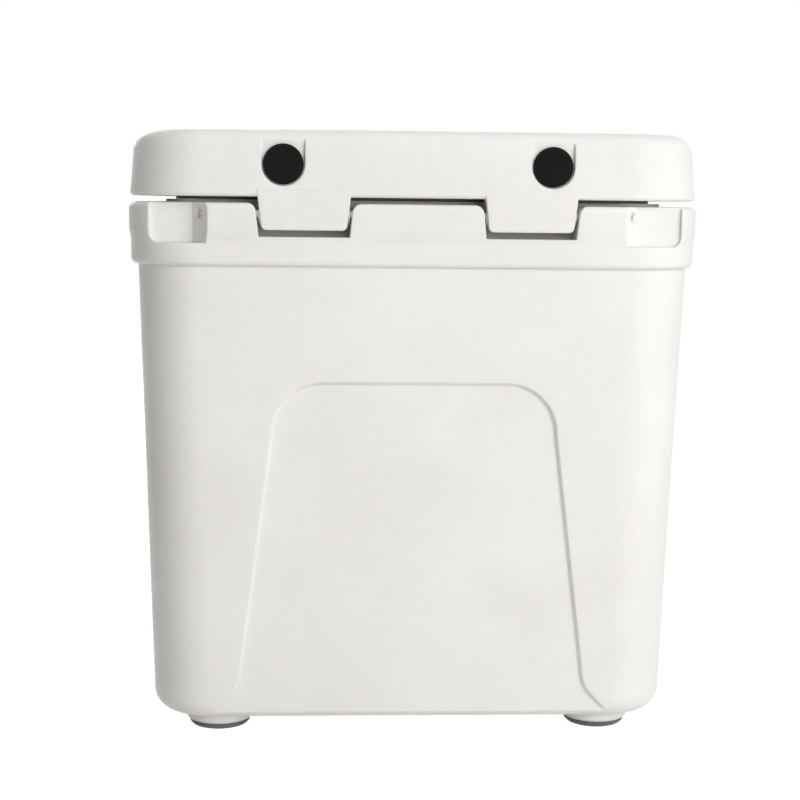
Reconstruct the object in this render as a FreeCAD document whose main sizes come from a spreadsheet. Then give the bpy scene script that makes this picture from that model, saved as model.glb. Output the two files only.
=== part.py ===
import FreeCAD, Part
import math
import os
import re
import Sketcher

# Hard cooler on two wheels and two feet, with a hinged lid, a telescopic pull handle and two strap latches.
# Millimetres. X runs along the hinge, +Y points to the handle and wheels, +Z points up, the floor is z = 0.

V = FreeCAD.Vector
doc = FreeCAD.newDocument("wheeled_cooler")

SIZES = {
    # whole body
    "rim_width": 482, "rim_depth": 440, "rim_corner": 60, "base_height": 14, "body_height": 440.5,
    "rim_height": 51.5, "rim_crease": 21, "rim_round": 5, "rim_proud": 1.6, "rim_slope": 8,
    "rim_overlap": 12,
    "front_reach": 18, "wall_inset": 7.3, "wall_taper": 11, "body_corner": 52, "base_round": 18,
    "skin": 4, "foam_gap": 0.3, "seat_gap": 0.1,
    # inside
    "rim_land": 52, "inner_taper": 7, "inner_corner": 34, "floor_thickness": 45, "step_wall": 17,
    # arch panel pressed into the hinge side
    "arch_drop": 149.5, "arch_half_top": 77, "arch_half_side": 117.5, "arch_corner": 41,
    "arch_half_low": 144.5, "arch_low": 45, "arch_flare": 35, "arch_depth": 3.5, "arch_draft": 35,
    # hinge
    "hinge_centre": 93.2, "hinge_in": 11, "hinge_drop": 9, "pin_radius": 4, "pin_run": 0.05,
    "notch_half": 37.2, "notch_lean": 0.104, "notch_drop": 18.5, "notch_behind": 18, "notch_round": 8,
    "notch_cove": 12,
    "lug_gap": 2.6, "lug_drop": 13, "lug_behind": 10.5, "lug_round": 4.5, "bush_radius": 6,
    "bush_length": 15, "bush_inset": 0.6, "bush_flange": 8, "bush_flange_thickness": 1.2, "pin_inner": 40,
    "pocket_inner": 171.6, "pocket_slant": 13, "pocket_outer": 220.4, "pocket_drop": 33,
    "pocket_depth": 18, "pocket_round": 8, "pin_end": 6,
    # lid
    "lid_gap": 5, "lid_height": 55, "lid_inset": 1, "lid_band": 6, "lid_lean": 4, "lid_round": 18,
    "lid_edge": 3, "land_inset": 31, "land_rise": 2.5, "plateau_gap": 4, "plateau_drop": 12,
    "plateau_taper": 4, "gasket_inset": 38, "gasket_width": 10, "gasket_groove": 3, "plug_centre": 110.4,
    "plug_rise": 26.5, "plug_radius": 16.5, "plug_recess": 17.7, "plug_depth": 5.5, "plug_shank": 13,
    "plug_head": 4,
    # telescopic handle
    "channel_half": 105, "channel_depth": 34, "channel_low": 26, "channel_round": 6, "rail_half": 80,
    "rail_gap": 2, "tube_wall": 1.7, "tube_gap": 0.3, "outer_radius": 12, "outer_low": 10,
    "tube_step": 4, "tube_stop": 3, "tube_in_grip": 4, "bezel_half": 98, "bezel_drop": 24,
    "bezel_height": 14, "bezel_out": 28, "bracket_low": 6, "bracket_height": 24, "collar_wall": 2.5,
    "collar_height": 8, "grip_half": 96, "grip_height": 22, "grip_thickness": 26, "grip_socket": 11,
    "grip_rise": 31.5, "grip_round": 7, "grip_floor": 2.5, "button_half": 22, "button_thickness": 15,
    "button_proud": 3, "button_travel": 5, "button_rest": 1.5, "bar_half": 4, "bar_height": 3.5,
    "rod_radius": 2.5, "rod_low": 60, "screw_half": 45, "screw_seat": 10,
    # wheels
    "wheel_radius": 80, "wheel_width": 44, "wheel_clear": 9, "well_wall": 174, "wheel_inner": 182,
    "wheel_behind": 83, "tyre_depth": 13, "tyre_round": 6, "hub_radius": 18, "web_thickness": 10,
    "lip_width": 38, "axle_radius": 6, "sleeve_radius": 9, "wheel_bush": 9, "bush_depth": 16,
    "bush_rim": 1.5, "cap_radius": 12, "cap_gap": 2.2, "cap_thickness": 6, "cap_skin": 2,
    "washer_radius": 14, "spoke_holes": 6, "spoke_hole_radius": 13,
    # feet
    "foot_centre": 166, "foot_in": 65, "foot_radius": 26, "foot_height": 5, "boss_radius": 29,
    # latches
    "latch_centre": 148, "latch_half": 19, "latch_rise": 24, "latch_in": 7, "latch_hub": 7,
    "latch_pin": 3, "latch_length": 59, "latch_bar": 5, "latch_neck": 8, "latch_thickness": 5,
    "latch_tab": 17, "latch_angle": 14.4, "latch_depth": 12, "keeper_drop": 22, "keeper_play": 2,
    "latch_pin_reach": 7,
    # drain
    "drain_in": 120, "drain_rise": 14, "drain_bore": 9, "drain_head": 22, "drain_recess": 12,
    "drain_cap": 8,
    # small hardware
    "screw_radius": 2.5, "screw_head": 4.8, "screw_head_height": 3, "screw_length": 18, "screw_hex": 2,
    "fill_radius": 15, "fill_head": 19, "fill_half": 90, "spring_radius": 5.5, "spring_wire": 0.6,
    "spring_height": 5, "spring_turns": 3, "plug_crown": 0.8,
}

DERIVED = {
    "back": "-(rim_depth + front_reach) / 2",
    "front": "back + rim_depth",
    "middle": "back + rim_depth / 2",
    "rim_top": "base_height + body_height",
    "rim_bottom": "rim_top - rim_height",
    "wall_top": "rim_bottom + rim_overlap",
    "lid_bottom": "rim_top + lid_gap",
    "lid_top": "lid_bottom + lid_height",
    "lid_back": "back + lid_inset",
    "lid_front": "front - lid_inset",
    "hinge_y": "back + hinge_in",
    "hinge_z": "rim_top - hinge_drop",
    "arch_height": "body_height - arch_drop",
    "floor_z": "base_height + floor_thickness",
    "well_radius": "wheel_radius + wheel_clear",
    "wheel_y": "front - wheel_behind",
    "step_z": "wheel_radius + well_radius + step_wall",
    "step_y": "wheel_y - well_radius - step_wall",
    "channel_y": "front - channel_depth",
    "channel_z": "base_height + channel_low",
    "rail_y": "channel_y + outer_radius + rail_gap",
    "bezel_top": "rim_top - bezel_drop + bezel_height",
    "bezel_bottom": "rim_top - bezel_drop",
    "middle_radius": "outer_radius - tube_wall - tube_gap",
    "inner_radius": "middle_radius - tube_wall - tube_gap",
    "collar_radius": "middle_radius + collar_wall",
    "grip_bottom": "rim_top + grip_rise",
    "grip_top": "grip_bottom + grip_height",
    "tunnel_bottom": "grip_bottom + grip_floor",
    "bar_bottom": "tunnel_bottom + button_travel + button_rest",
    "middle_top": "rim_top - tube_stop",
    "latch_y": "lid_front - latch_in",
    "latch_z": "lid_bottom + latch_rise",
    "bush_seat": "notch_half + notch_lean * notch_drop - lug_gap - bush_inset",
    "cap_in": "wheel_inner + wheel_width + cap_gap",
    "cap_out": "cap_in + cap_thickness",
    "foot_y": "back + foot_in",
    "drain_z": "floor_z + drain_rise",
    "drain_y": "back + drain_in",
    "drain_seat": "rim_width / 2 - wall_inset - wall_taper + 2 - drain_recess",
}

sheet = doc.addObject("Spreadsheet::Sheet", "Sizes")
working = doc.addObject("Spreadsheet::Sheet", "Working")
finished = []


def fill_sheet():
    """Writes every size on its own row, named after what it measures."""
    rows = [(name, str(value)) for name, value in SIZES.items()]
    rows += [(name, "=" + formula) for name, formula in DERIVED.items()]
    for row, (name, content) in enumerate(rows, start=1):
        sheet.set(f"A{row}", name)
        sheet.set(f"B{row}", content)
        sheet.setAlias(f"B{row}", name)
    doc.recompute()


def linked(text):
    """A formula in plain size names, with each name pointing at the sheet."""
    return re.sub(r"[a-z_]+", lambda word: pointed(word.group()), str(text))


def pointed(word):
    return "Sizes." + word if word in SIZES or word in DERIVED else word


def number(text):
    """The present value of a formula in size names."""
    working.set("A1", "=" + linked(text))
    working.recompute()
    return float(working.get("A1"))


def tie(thing, **formulas):
    """Binds properties to formulas; a double underscore stands for a dot."""
    for name, text in formulas.items():
        thing.setExpression(name.replace("__", "."), linked(text))


def new_body(label, several=False):
    body = doc.addObject("PartDesign::Body", label)
    body.Label = label
    body.AllowCompound = several
    return body


def keep(thing, label):
    """Marks a finished piece for export under its label."""
    thing.Label = label
    finished.append(thing)
    return thing


def plane_of(body, role):
    return [feature for feature in body.Origin.OriginFeatures if feature.Role == role][0]


def new_sketch(body, role, offset="0"):
    """A sketch on one of the body's own planes, moved along that plane's normal."""
    sketch = body.newObject("Sketcher::SketchObject", "outline")
    sketch.AttachmentSupport = [(plane_of(body, role), "")]
    sketch.MapMode = "FlatFace"
    tie(sketch, AttachmentOffset__Base__z=offset)
    return sketch


def pin_point(sketch, piece, end, across, up):
    """Holds one end of a sketch line or arc at a place given by two formulas."""
    for kind, text in (("DistanceX", across), ("DistanceY", up)):
        index = sketch.addConstraint(Sketcher.Constraint(kind, -1, 1, piece, end, number(text)))
        sketch.setExpression(f"Constraints[{index}]", linked(text))


def draw_outline(sketch, steps):
    """Closed outline of lines and arcs.

    Each step is (across, up) or (across, up, radius): a radius makes the stretch that arrives there an arc,
    with its centre on the left of the way there, or on the right where the radius starts with a minus.
    """
    places = [V(number(step[0]), number(step[1]), 0) for step in steps]
    joints = []
    for index, step in enumerate(steps):
        start, end = places[index - 1], places[index]
        if len(step) == 2:
            piece = sketch.addGeometry(Part.LineSegment(start, end))
            joints.append((piece, 1, 2))
            continue
        radius = number(step[2])
        chord = end - start
        left = V(-chord.y, chord.x, 0).normalize()
        reach = math.sqrt(max(radius ** 2 - (chord.Length / 2) ** 2, 0))
        centre = (start + end) / 2 + left * math.copysign(reach, radius)
        first, last = (start, end) if radius > 0 else (end, start)
        angles = [math.atan2(place.y - centre.y, place.x - centre.x) for place in (first, last)]
        if angles[1] < angles[0]:
            angles[1] += 2 * math.pi
        arc = Part.ArcOfCircle(Part.Circle(centre, V(0, 0, 1), abs(radius)), angles[0], angles[1])
        piece = sketch.addGeometry(arc)
        joints.append((piece, 1, 2) if radius > 0 else (piece, 2, 1))
        index_radius = sketch.addConstraint(Sketcher.Constraint("Radius", piece, abs(radius)))
        sketch.setExpression(f"Constraints[{index_radius}]", linked(str(step[2]).lstrip("-")))
    for index, step in enumerate(steps):
        piece, _, end = joints[index]
        following, start, _ = joints[(index + 1) % len(steps)]
        sketch.addConstraint(Sketcher.Constraint("Coincident", piece, end, following, start))
        pin_point(sketch, piece, end, step[0], step[1])


def draw_rounded_rectangle(sketch, width, depth, radius, middle="middle"):
    """Rectangle with round corners, centred on X and on the given middle in Y."""
    half, reach = f"({width}) / 2", f"({depth}) / 2"
    low, high = f"{middle} - {reach}", f"{middle} + {reach}"
    draw_outline(sketch, [
        (f"{half} - ({radius})", low),
        (half, f"{low} + ({radius})", radius),
        (half, f"{high} - ({radius})"),
        (f"{half} - ({radius})", high, radius),
        (f"-{half} + ({radius})", high),
        (f"-{half}", f"{high} - ({radius})", radius),
        (f"-{half}", f"{low} + ({radius})"),
        (f"-{half} + ({radius})", low, radius),
    ])


def tapered(body, kind, low, high, radius):
    """Four-sided solid with leaning walls and round corners, between two levels.

    Each level is (height, width, depth, middle in Y); the rounding runs up all four corners.
    """
    feature = body.newObject(f"PartDesign::{kind}Wedge", "taper")
    feature.Placement = FreeCAD.Placement(V(), FreeCAD.Rotation(V(1, 0, 0), 90))
    for (height, width, depth, middle), level, step in ((low, "min", ""), (high, "max", "2")):
        tie(feature, **{
            f"Y{level}": height,
            f"X{step}min": f"-({width}) / 2",
            f"X{step}max": f"({width}) / 2",
            f"Z{step}min": f"-({middle}) - ({depth}) / 2",
            f"Z{step}max": f"({depth}) / 2 - ({middle})",
        })
    doc.recompute()
    ends = [[V(x * number(width) / 2, number(middle) + y * number(depth) / 2, number(height))
             for height, width, depth, middle in (low, high)] for x in (-1, 1) for y in (-1, 1)]
    round_edges(body, radius, lambda box, edge: any(lies_on(edge, *pair) for pair in ends))
    return feature


def lies_on(edge, start, end):
    """True for a straight edge that lies on the line from start to end."""
    reach = (end - start).Length
    along = (end - start).normalize()
    ways = [corner.Point - start for corner in edge.Vertexes]
    return len(ways) == 2 and edge.Length > 2 and all(
        way.cross(along).Length < 0.05 and -0.1 < way.dot(along) < reach + 0.1 for way in ways)


def block(body, kind, x, y, z):
    """Box between pairs of formulas, added to or cut from the body."""
    feature = body.newObject(f"PartDesign::{kind}Box", "block")
    sides = [f"({high}) - ({low})" for low, high in (x, y, z)]
    tie(feature, Length=sides[0], Width=sides[1], Height=sides[2])
    tie(feature, Placement__Base__x=x[0], Placement__Base__y=y[0], Placement__Base__z=z[0])
    doc.recompute()
    return feature


TURNS = {
    "X": FreeCAD.Rotation(V(0, 1, 0), 90),
    "Y": FreeCAD.Rotation(V(1, 0, 0), -90),
    "Z": FreeCAD.Rotation(),
}


def rod(body, kind, axis, start, radius, length, shape="Cylinder"):
    """Round rod or hexagon prism along +X, +Y or +Z from a start point, added to or cut from the body."""
    feature = body.newObject(f"PartDesign::{kind}{shape}", "rod")
    feature.Placement = FreeCAD.Placement(V(), TURNS[axis])
    tie(feature, Placement__Base__x=start[0], Placement__Base__y=start[1], Placement__Base__z=start[2])
    tie(feature, Height=length)
    if shape == "Prism":
        tie(feature, Circumradius=radius)
    else:
        tie(feature, Radius=radius)
    doc.recompute()
    return feature


def pad(body, sketch, length):
    doc.recompute()
    feature = body.newObject("PartDesign::Pad", "pad")
    feature.Profile = sketch
    tie(feature, Length=length)
    doc.recompute()
    return feature


def pocket(body, sketch, length, draft="0", outwards=False):
    """Cut from a sketch into the body, or outwards from a sketch that lies inside it."""
    doc.recompute()
    before = body.Shape.Volume
    if "Invalid" in sketch.State:
        raise RuntimeError(f"an outline in {body.Label} is not sound")
    feature = body.newObject("PartDesign::Pocket", "pocket")
    feature.Profile = sketch
    feature.Reversed = outwards
    tie(feature, Length=length, TaperAngle=draft)
    doc.recompute()
    if not body.Shape.Volume < before - 0.01:
        raise RuntimeError(f"a pocket in {body.Label} cuts nothing")
    return feature


def revolve(body, role, steps, axis="H_Axis", kind="Revolution", place=None):
    """Full turn of an outline about the sketch's own horizontal or vertical axis, at a place in the body."""
    sketch = new_sketch(body, role)
    if place:
        tie(sketch, AttachmentOffset__Base__x=place[0], AttachmentOffset__Base__y=place[1],
            AttachmentOffset__Base__z=place[2])
    draw_outline(sketch, steps)
    doc.recompute()
    feature = body.newObject(f"PartDesign::{kind}", "turned")
    feature.Profile = sketch
    feature.ReferenceAxis = (sketch, [axis])
    feature.Angle = 360
    doc.recompute()
    return feature


def round_edges(body, radius, test, kind="Fillet"):
    """Rounds every edge whose box and curve pass the test."""
    tip = body.Tip
    edges = enumerate(tip.Shape.Edges, start=1)
    names = [f"Edge{index}" for index, edge in edges if test(edge.BoundBox, edge)]
    if not names:
        raise RuntimeError(f"no edge to round in {body.Label}")
    feature = body.newObject(f"PartDesign::{kind}", "rounding")
    feature.Base = (tip, names)
    tie(feature, **({"Radius": radius} if kind == "Fillet" else {"Size": radius}))
    doc.recompute()
    if "Invalid" in feature.State or "Error" in feature.State:
        raise RuntimeError(f"rounding failed in {body.Label}")
    return feature


def flat_at(height):
    """Test for edges that lie in one level plane."""
    level = number(height)
    return lambda box, edge: abs(box.ZMin - level) < 0.05 and abs(box.ZMax - level) < 0.05


def span(side, near, far):
    """Two X formulas in rising order on the left (-1) or right (1) side."""
    return (near, far) if side > 0 else (f"-({far})", f"-({near})")


def mirrored(side, text):
    return f"{side} * ({text})"


SIDES = {"left": -1, "right": 1}
EVERYWHERE = ("-400", "400")


# ---------------------------------------------------------------- body of the cooler

def wall_form(label, inset):
    """Tapered tub with its rim, the room inside, the handle channel and the wheel wells.

    With an inset, every face lies that far inside the material: the form of the hollow or of the foam.
    """
    body = new_body(label)
    narrow = f"rim_width - 2 * (wall_inset + {inset})"
    shallow = f"rim_depth - 2 * (wall_inset + {inset})"
    corner = f"body_corner - {inset}"
    tapered(body, "Additive",
            (f"base_height + {inset}", f"{narrow} - 2 * wall_taper", f"{shallow} - 2 * wall_taper", "middle"),
            ("wall_top", narrow, shallow, "middle"), corner)
    round_edges(body, f"base_round - {inset}", flat_at(f"base_height + {inset}"))
    wide, deep = f"rim_width - 2 * {inset}", f"rim_depth - 2 * {inset}"
    slim, thin = f"{wide} - 2 * rim_proud", f"{deep} - 2 * rim_proud"
    tapered(body, "Additive", (f"rim_bottom + {inset}", slim, thin, "middle"),
            ("rim_bottom + rim_crease", slim, thin, "middle"), f"rim_corner - rim_proud - {inset}")
    tapered(body, "Additive", ("rim_bottom + rim_crease", wide, deep, "middle"),
            (f"rim_top - {inset}", wide, deep, "middle"), f"rim_corner - {inset}")
    return body


def raise_land(body):
    """Low land round the room, on which the lid's gasket closes."""
    wide, deep = "rim_width - 2 * land_inset", "rim_depth - 2 * land_inset"
    tapered(body, "Additive", ("rim_top - 1", wide, deep, "middle"),
            ("rim_top + land_rise", wide, deep, "middle"), "rim_corner - land_inset")
    round_edges(body, "1", flat_at("rim_top + land_rise"))


def cut_room(body, inset):
    """Room for ice and food, with a step along its front over the wheels and axle."""
    wide = f"(rim_width - 2 * (rim_land - {inset}))"
    deep = f"(rim_depth - 2 * (rim_land - {inset}))"
    tapered(body, "Subtractive",
            (f"floor_z - {inset}", f"{wide} - 2 * inner_taper", f"{deep} - 2 * inner_taper", "middle"),
            ("rim_top + land_rise + 1", wide, deep, "middle"), f"inner_corner + {inset}")
    block(body, "Additive", ("rim_land - rim_width / 2 - 9", "rim_width / 2 - rim_land + 9"),
          (f"step_y + {inset}", "front - rim_land + 9"), ("floor_z - 9", f"step_z - {inset}"))


def cut_wheel_wells(body, inset):
    for side in SIDES.values():
        x = span(side, f"well_wall - {inset}", "rim_width")
        rod(body, "Subtractive", "X", (x[0], "wheel_y", "wheel_radius"), f"well_radius + {inset}",
            f"rim_width - well_wall + {inset}")
        block(body, "Subtractive", x, ("wheel_y", "front + 9"), ("-9", f"wheel_radius + {inset}"))


def cut_handle_channel(body, inset):
    block(body, "Subtractive", (f"-channel_half - {inset}", f"channel_half + {inset}"),
          (f"channel_y - {inset}", "front + 9"), (f"channel_z - {inset}", "rim_top + 9"))


def outer_form():
    """The tub as its outside shows it, still solid between the two skins."""
    body = wall_form("body_outer", "0")
    round_edges(body, "5", flat_at("rim_top"))
    soften_rim(body)
    raise_land(body)
    cut_room(body, "0")
    cut_handle_channel(body, "0")
    round_edges(body, "channel_round", lambda box, edge: upright_near(box, "channel_half", "channel_y"))
    cut_wheel_wells(body, "0")
    press_arch(body)
    add_foot_bosses(body)
    cut_hinge_seats(body)
    cut_latch_keepers(body)
    cut_body_holes(body)
    return body


def soften_rim(body):
    """Rounds the rim's lower edge and slopes its proud upper band into the lower one."""
    low, crease = flat_at("rim_bottom"), flat_at("rim_bottom + rim_crease")
    round_edges(body, "rim_round", lambda box, edge: low(box, edge) and outermost(box, "rim_proud"))
    slope = round_edges(body, "rim_proud - 0.05",
                        lambda box, edge: crease(box, edge) and outermost(box, "0"), kind="Chamfer")
    slope.ChamferType = "Two distances"
    tie(slope, Size="rim_proud - 0.05", Size2="rim_slope")
    doc.recompute()


def outermost(box, inset):
    """True for an edge on the rim's outline, the given step inside its widest outline."""
    half = number(f"rim_width / 2 - {inset}")
    depth = number(f"rim_depth / 2 - {inset}")
    middle = number("middle")
    reach = max(abs(box.XMin), abs(box.XMax))
    side = max(abs(box.YMin - middle), abs(box.YMax - middle))
    return reach > half - 0.1 or side > depth - 0.1


def upright_near(box, x, y):
    upright = box.ZMax - box.ZMin > 50
    return upright and abs(abs(box.XMin) - number(x)) < 0.1 and abs(box.YMin - number(y)) < 0.1


def press_arch(body):
    """Arch panel pressed a few millimetres into the hinge-side wall, parallel to that wall."""
    sketch = new_sketch(body, "XZ_Plane", "-(back + wall_inset + wall_taper + arch_depth)")
    tie(sketch, AttachmentOffset__Base__y="base_height")
    sketch.AttachmentOffset = FreeCAD.Placement(V(), FreeCAD.Rotation(V(1, 0, 0), 1))
    tie(sketch, AttachmentOffset__Rotation__Angle="atan(wall_taper / (wall_top - base_height))")
    bend_out, bend_up = "arch_half_low + 0.293 * arch_flare", "arch_low - 0.707 * arch_flare"
    draw_outline(sketch, [
        (f"-({bend_out}) - ({bend_up}) - 6", "-6"),
        (f"-({bend_out})", bend_up),
        ("-arch_half_low", "arch_low", "arch_flare"),
        ("-arch_half_side", "arch_height - arch_corner"),
        ("-arch_half_top", "arch_height", "-arch_corner"),
        ("arch_half_top", "arch_height"),
        ("arch_half_side", "arch_height - arch_corner", "-arch_corner"),
        ("arch_half_low", "arch_low"),
        (bend_out, bend_up, "arch_flare"),
        (f"{bend_out} + {bend_up} + 6", "-6"),
    ])
    pocket(body, sketch, "arch_depth + 2", "arch_draft", outwards=True)


def add_foot_bosses(body):
    for side in SIDES.values():
        rod(body, "Additive", "Z", (mirrored(side, "foot_centre"), "foot_y", "foot_height + seat_gap"),
            "boss_radius", "base_height + base_round - foot_height")
    round_edges(body, "3", lambda box, edge: flat_at("foot_height + seat_gap")(box, edge))


def cut_hinge_seats(body):
    """Notches for the lid's lugs, the two end pockets, and the bores of the hinge pins."""
    for side in SIDES.values():
        middle = mirrored(side, "hinge_centre")
        top = "(notch_half + notch_lean * (notch_drop + hinge_drop - notch_round))"
        sketch = new_sketch(body, "XZ_Plane", "-(back - 1)")
        draw_outline(sketch, [
            (f"{middle} - notch_half", "hinge_z - notch_drop"),
            (f"{middle} + notch_half", "hinge_z - notch_drop"),
            (f"{middle} + {top}", "rim_top - notch_round"),
            (f"{middle} + {top} + notch_round", "rim_top", "-notch_round"),
            (f"{middle} + {top} + notch_round", "rim_top + 2"),
            (f"{middle} - {top} - notch_round", "rim_top + 2"),
            (f"{middle} - {top} - notch_round", "rim_top"),
            (f"{middle} - {top}", "rim_top - notch_round", "-notch_round"),
        ])
        pocket(body, sketch, "hinge_in + notch_behind + 1")
        cut_pocket(body, side)
        x = span(side, "pin_inner - 1", "pocket_inner + pocket_slant")
        rod(body, "Subtractive", "X", (x[0], "hinge_y", "hinge_z"), "pin_radius + pin_run",
            "pocket_inner + pocket_slant + 1 - pin_inner")
    low, deep = flat_at("hinge_z - notch_drop"), number("hinge_y + notch_behind")
    round_edges(body, "notch_cove",
                lambda box, edge: low(box, edge) and abs(box.YMin - deep) < 0.05 and abs(box.YMax - deep) < 0.05)


def cut_pocket(body, side):
    """Pocket at the outer end of a hinge pin, with a round outer corner and a slanted inner wall."""
    low, high = span(side, "(pocket_inner + pocket_slant)", "pocket_outer")
    sketch = new_sketch(body, "XZ_Plane", "-(back - 1)")
    left_round = "pocket_round" if side < 0 else "1"
    right_round = "pocket_round" if side > 0 else "1"
    draw_outline(sketch, [
        (f"{low} + {left_round}", "rim_top - pocket_drop", left_round),
        (f"{high} - {right_round}", "rim_top - pocket_drop"),
        (high, f"rim_top - pocket_drop + {right_round}", right_round),
        (high, "rim_top + 2"),
        (low, "rim_top + 2"),
        (low, f"rim_top - pocket_drop + {left_round}"),
    ])
    pocket(body, sketch, "pocket_depth + 1")
    sketch = new_sketch(body, "XY_Plane", "rim_top + 2")
    far = mirrored(side, "(pocket_inner + pocket_slant + 2)")
    draw_outline(sketch, [
        (mirrored(side, "(pocket_inner - pocket_slant / pocket_depth)"), "back - 1"),
        (mirrored(side, "(pocket_inner + pocket_slant)"), "back + pocket_depth"),
        (far, "back + pocket_depth"),
        (far, "back - 1"),
    ])
    pocket(body, sketch, "pocket_drop + 2")


def cut_latch_keepers(body):
    """Slot for each strap's neck over a wider pocket for its cross bar."""
    for side in SIDES.values():
        middle = mirrored(side, "latch_centre")
        for half, low, high in (("latch_neck", "rim_top - keeper_drop - 1", "rim_top + 1"),
                                ("latch_half", "rim_bottom - 2", "rim_top - keeper_drop")):
            across = (f"{middle} - {half} - keeper_play", f"{middle} + {half} + keeper_play")
            block(body, "Subtractive", across, ("front - latch_depth", "front + 1"), (low, high))


def cut_body_holes(body):
    """Axle tunnel, drain, fill holes and screw holes."""
    rod(body, "Subtractive", "X", ("-well_wall - 1", "wheel_y", "wheel_radius"), "sleeve_radius + seat_gap",
        "2 * well_wall + 2")
    rod(body, "Subtractive", "X", ("drain_seat", "drain_y", "drain_z"), "drain_head + 2", "40")
    rod(body, "Subtractive", "X", ("rim_width / 2 - rim_land - 20", "drain_y", "drain_z"), "drain_bore", "60")
    for side in SIDES.values():
        rod(body, "Subtractive", "Z", (mirrored(side, "fill_half"), "middle", "base_height - 1"),
            "fill_radius", "skin + 2")
        rod(body, "Subtractive", "Z", (mirrored(side, "foot_centre"), "foot_y", "0"),
            "screw_radius + seat_gap", "screw_length + 4")
    for x, y, z in handle_screw_places():
        rod(body, "Subtractive", "Y", (x, "channel_y - 9", z), "screw_radius + seat_gap", "10")


def handle_screw_places():
    """Screws that hold the bezel and the foot bracket of the handle, along +Y."""
    heights = ["bezel_bottom + bezel_height / 2", "channel_z + bracket_low + bracket_height / 2"]
    sides = [mirrored(side, "screw_half") for side in SIDES.values()]
    return [(across, "channel_y", height) for height in heights for across in sides]


def hollow_form(label, inset):
    """What lies between the two skins, less the places where the plastic is solid."""
    body = wall_form(label, inset)
    cut_room(body, inset)
    cut_handle_channel(body, inset)
    cut_wheel_wells(body, inset)
    spare_hinge_seats(body, inset)
    block(body, "Subtractive", EVERYWHERE,
          ("back - 1", f"back + wall_inset + wall_taper + arch_depth + {inset}"),
          ("-1", f"base_height + arch_height + 5 + {inset}"))
    rod(body, "Subtractive", "X", ("-rim_width", "wheel_y", "wheel_radius"), f"sleeve_radius + {inset}",
        "2 * rim_width")
    rod(body, "Subtractive", "X", (f"drain_seat - {inset}", "drain_y", "drain_z"),
        f"drain_head + 2 + {inset}", "60")
    rod(body, "Subtractive", "X", ("rim_width / 2 - rim_land - 20", "drain_y", "drain_z"),
        f"drain_bore + {inset}", "60")
    for side in SIDES.values():
        middle, play = mirrored(side, "latch_centre"), f"latch_half + keeper_play + {inset}"
        block(body, "Subtractive", (f"{middle} - ({play})", f"{middle} + {play}"),
              (f"front - latch_depth - {inset}", "front + 1"), (f"rim_bottom - 2 - {inset}", "rim_top + 1"))
        rod(body, "Subtractive", "Z", (mirrored(side, "foot_centre"), "foot_y", "0"),
            f"screw_radius + {inset}", f"screw_length + 4 + {inset}")
    for x, y, z in handle_screw_places():
        rod(body, "Subtractive", "Y", (x, "channel_y - 30", z), f"screw_radius + {inset}", "31")
    return body


def spare_hinge_seats(body, inset):
    """Takes the notches, the end pockets and the solid plastic round the hinge pins out of the hollow."""
    half = f"(notch_half + notch_lean * (notch_drop + hinge_drop) + notch_round + {inset})"
    for side in SIDES.values():
        middle = mirrored(side, "hinge_centre")
        block(body, "Subtractive", (f"{middle} - {half}", f"{middle} + {half}"),
              ("back - 1", f"hinge_y + notch_behind + {inset}"),
              (f"hinge_z - notch_drop - {inset}", "rim_top + 1"))
        block(body, "Subtractive", span(side, f"(pin_inner - 1 - {inset})", "rim_width"),
              ("back - 1", f"back + pocket_depth + {inset}"),
              (f"rim_top - pocket_drop - {inset}", "rim_top + 1"))


def cut_away(base, tool, label):
    """One body less another."""
    result = doc.addObject("Part::Cut", label)
    result.Base = base
    result.Tool = tool
    doc.recompute()
    return keep(result, label)


def make_body():
    cut_away(outer_form(), hollow_form("body_hollow", "skin"), "body_shell")
    keep(hollow_form("body_foam", "(skin + foam_gap)"), "body_foam")
    plugs = new_body("body_fill_plugs", several=True)
    for side in SIDES.values():
        x = mirrored(side, "fill_half")
        rod(plugs, "Additive", "Z", (x, "middle", "base_height - seat_gap - 3"), "fill_head", "3")
        rod(plugs, "Additive", "Z", (x, "middle", "base_height - seat_gap - 1"), "fill_radius - seat_gap",
            "skin + 1")
    keep(plugs, "body_fill_plugs")


# ---------------------------------------------------------------- lid

def lid_form(label, inset):
    """Lid with its lean and crowned edge, and the plateau below it that reaches into the room."""
    body = new_body(label)
    wide = f"rim_width - 2 * (lid_inset + {inset})"
    deep = f"rim_depth - 2 * (lid_inset + {inset})"
    corner = f"rim_corner - {inset}"
    tapered(body, "Additive", (f"lid_bottom + {inset}", wide, deep, "middle"),
            (f"lid_top - {inset}", f"{wide} - 2 * lid_lean", f"{deep} - 2 * lid_lean", "middle"), corner)
    round_edges(body, f"lid_round - {inset}", flat_at(f"lid_top - {inset}"))
    if inset == "0":
        round_edges(body, "lid_edge", flat_at("lid_bottom"))
    plateau = f"2 * (rim_land + plateau_gap + {inset})"
    across, along = f"rim_width - {plateau}", f"rim_depth - {plateau}"
    tapered(body, "Additive",
            (f"rim_top - plateau_drop + {inset}", f"{across} - 2 * plateau_taper",
             f"{along} - 2 * plateau_taper", "middle"),
            (f"lid_bottom + {inset} + 1", across, along, "middle"), f"inner_corner - {inset}")
    block(body, "Subtractive", (f"-channel_half - 2 - {inset}", f"channel_half + 2 + {inset}"),
          (f"channel_y - 2 - {inset}", "front + 1"), ("rim_top - 30", "lid_top + 1"))
    for side in SIDES.values():
        middle, play = mirrored(side, "latch_centre"), f"latch_half + 1 + 2 * {inset}"
        block(body, "Subtractive", (f"{middle} - ({play})", f"{middle} + {play}"),
              (f"latch_y - latch_hub - 2 - {inset}", "front + 1"),
              ("rim_top", f"latch_z + latch_hub + 2 + {inset}"))
    return body


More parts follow.
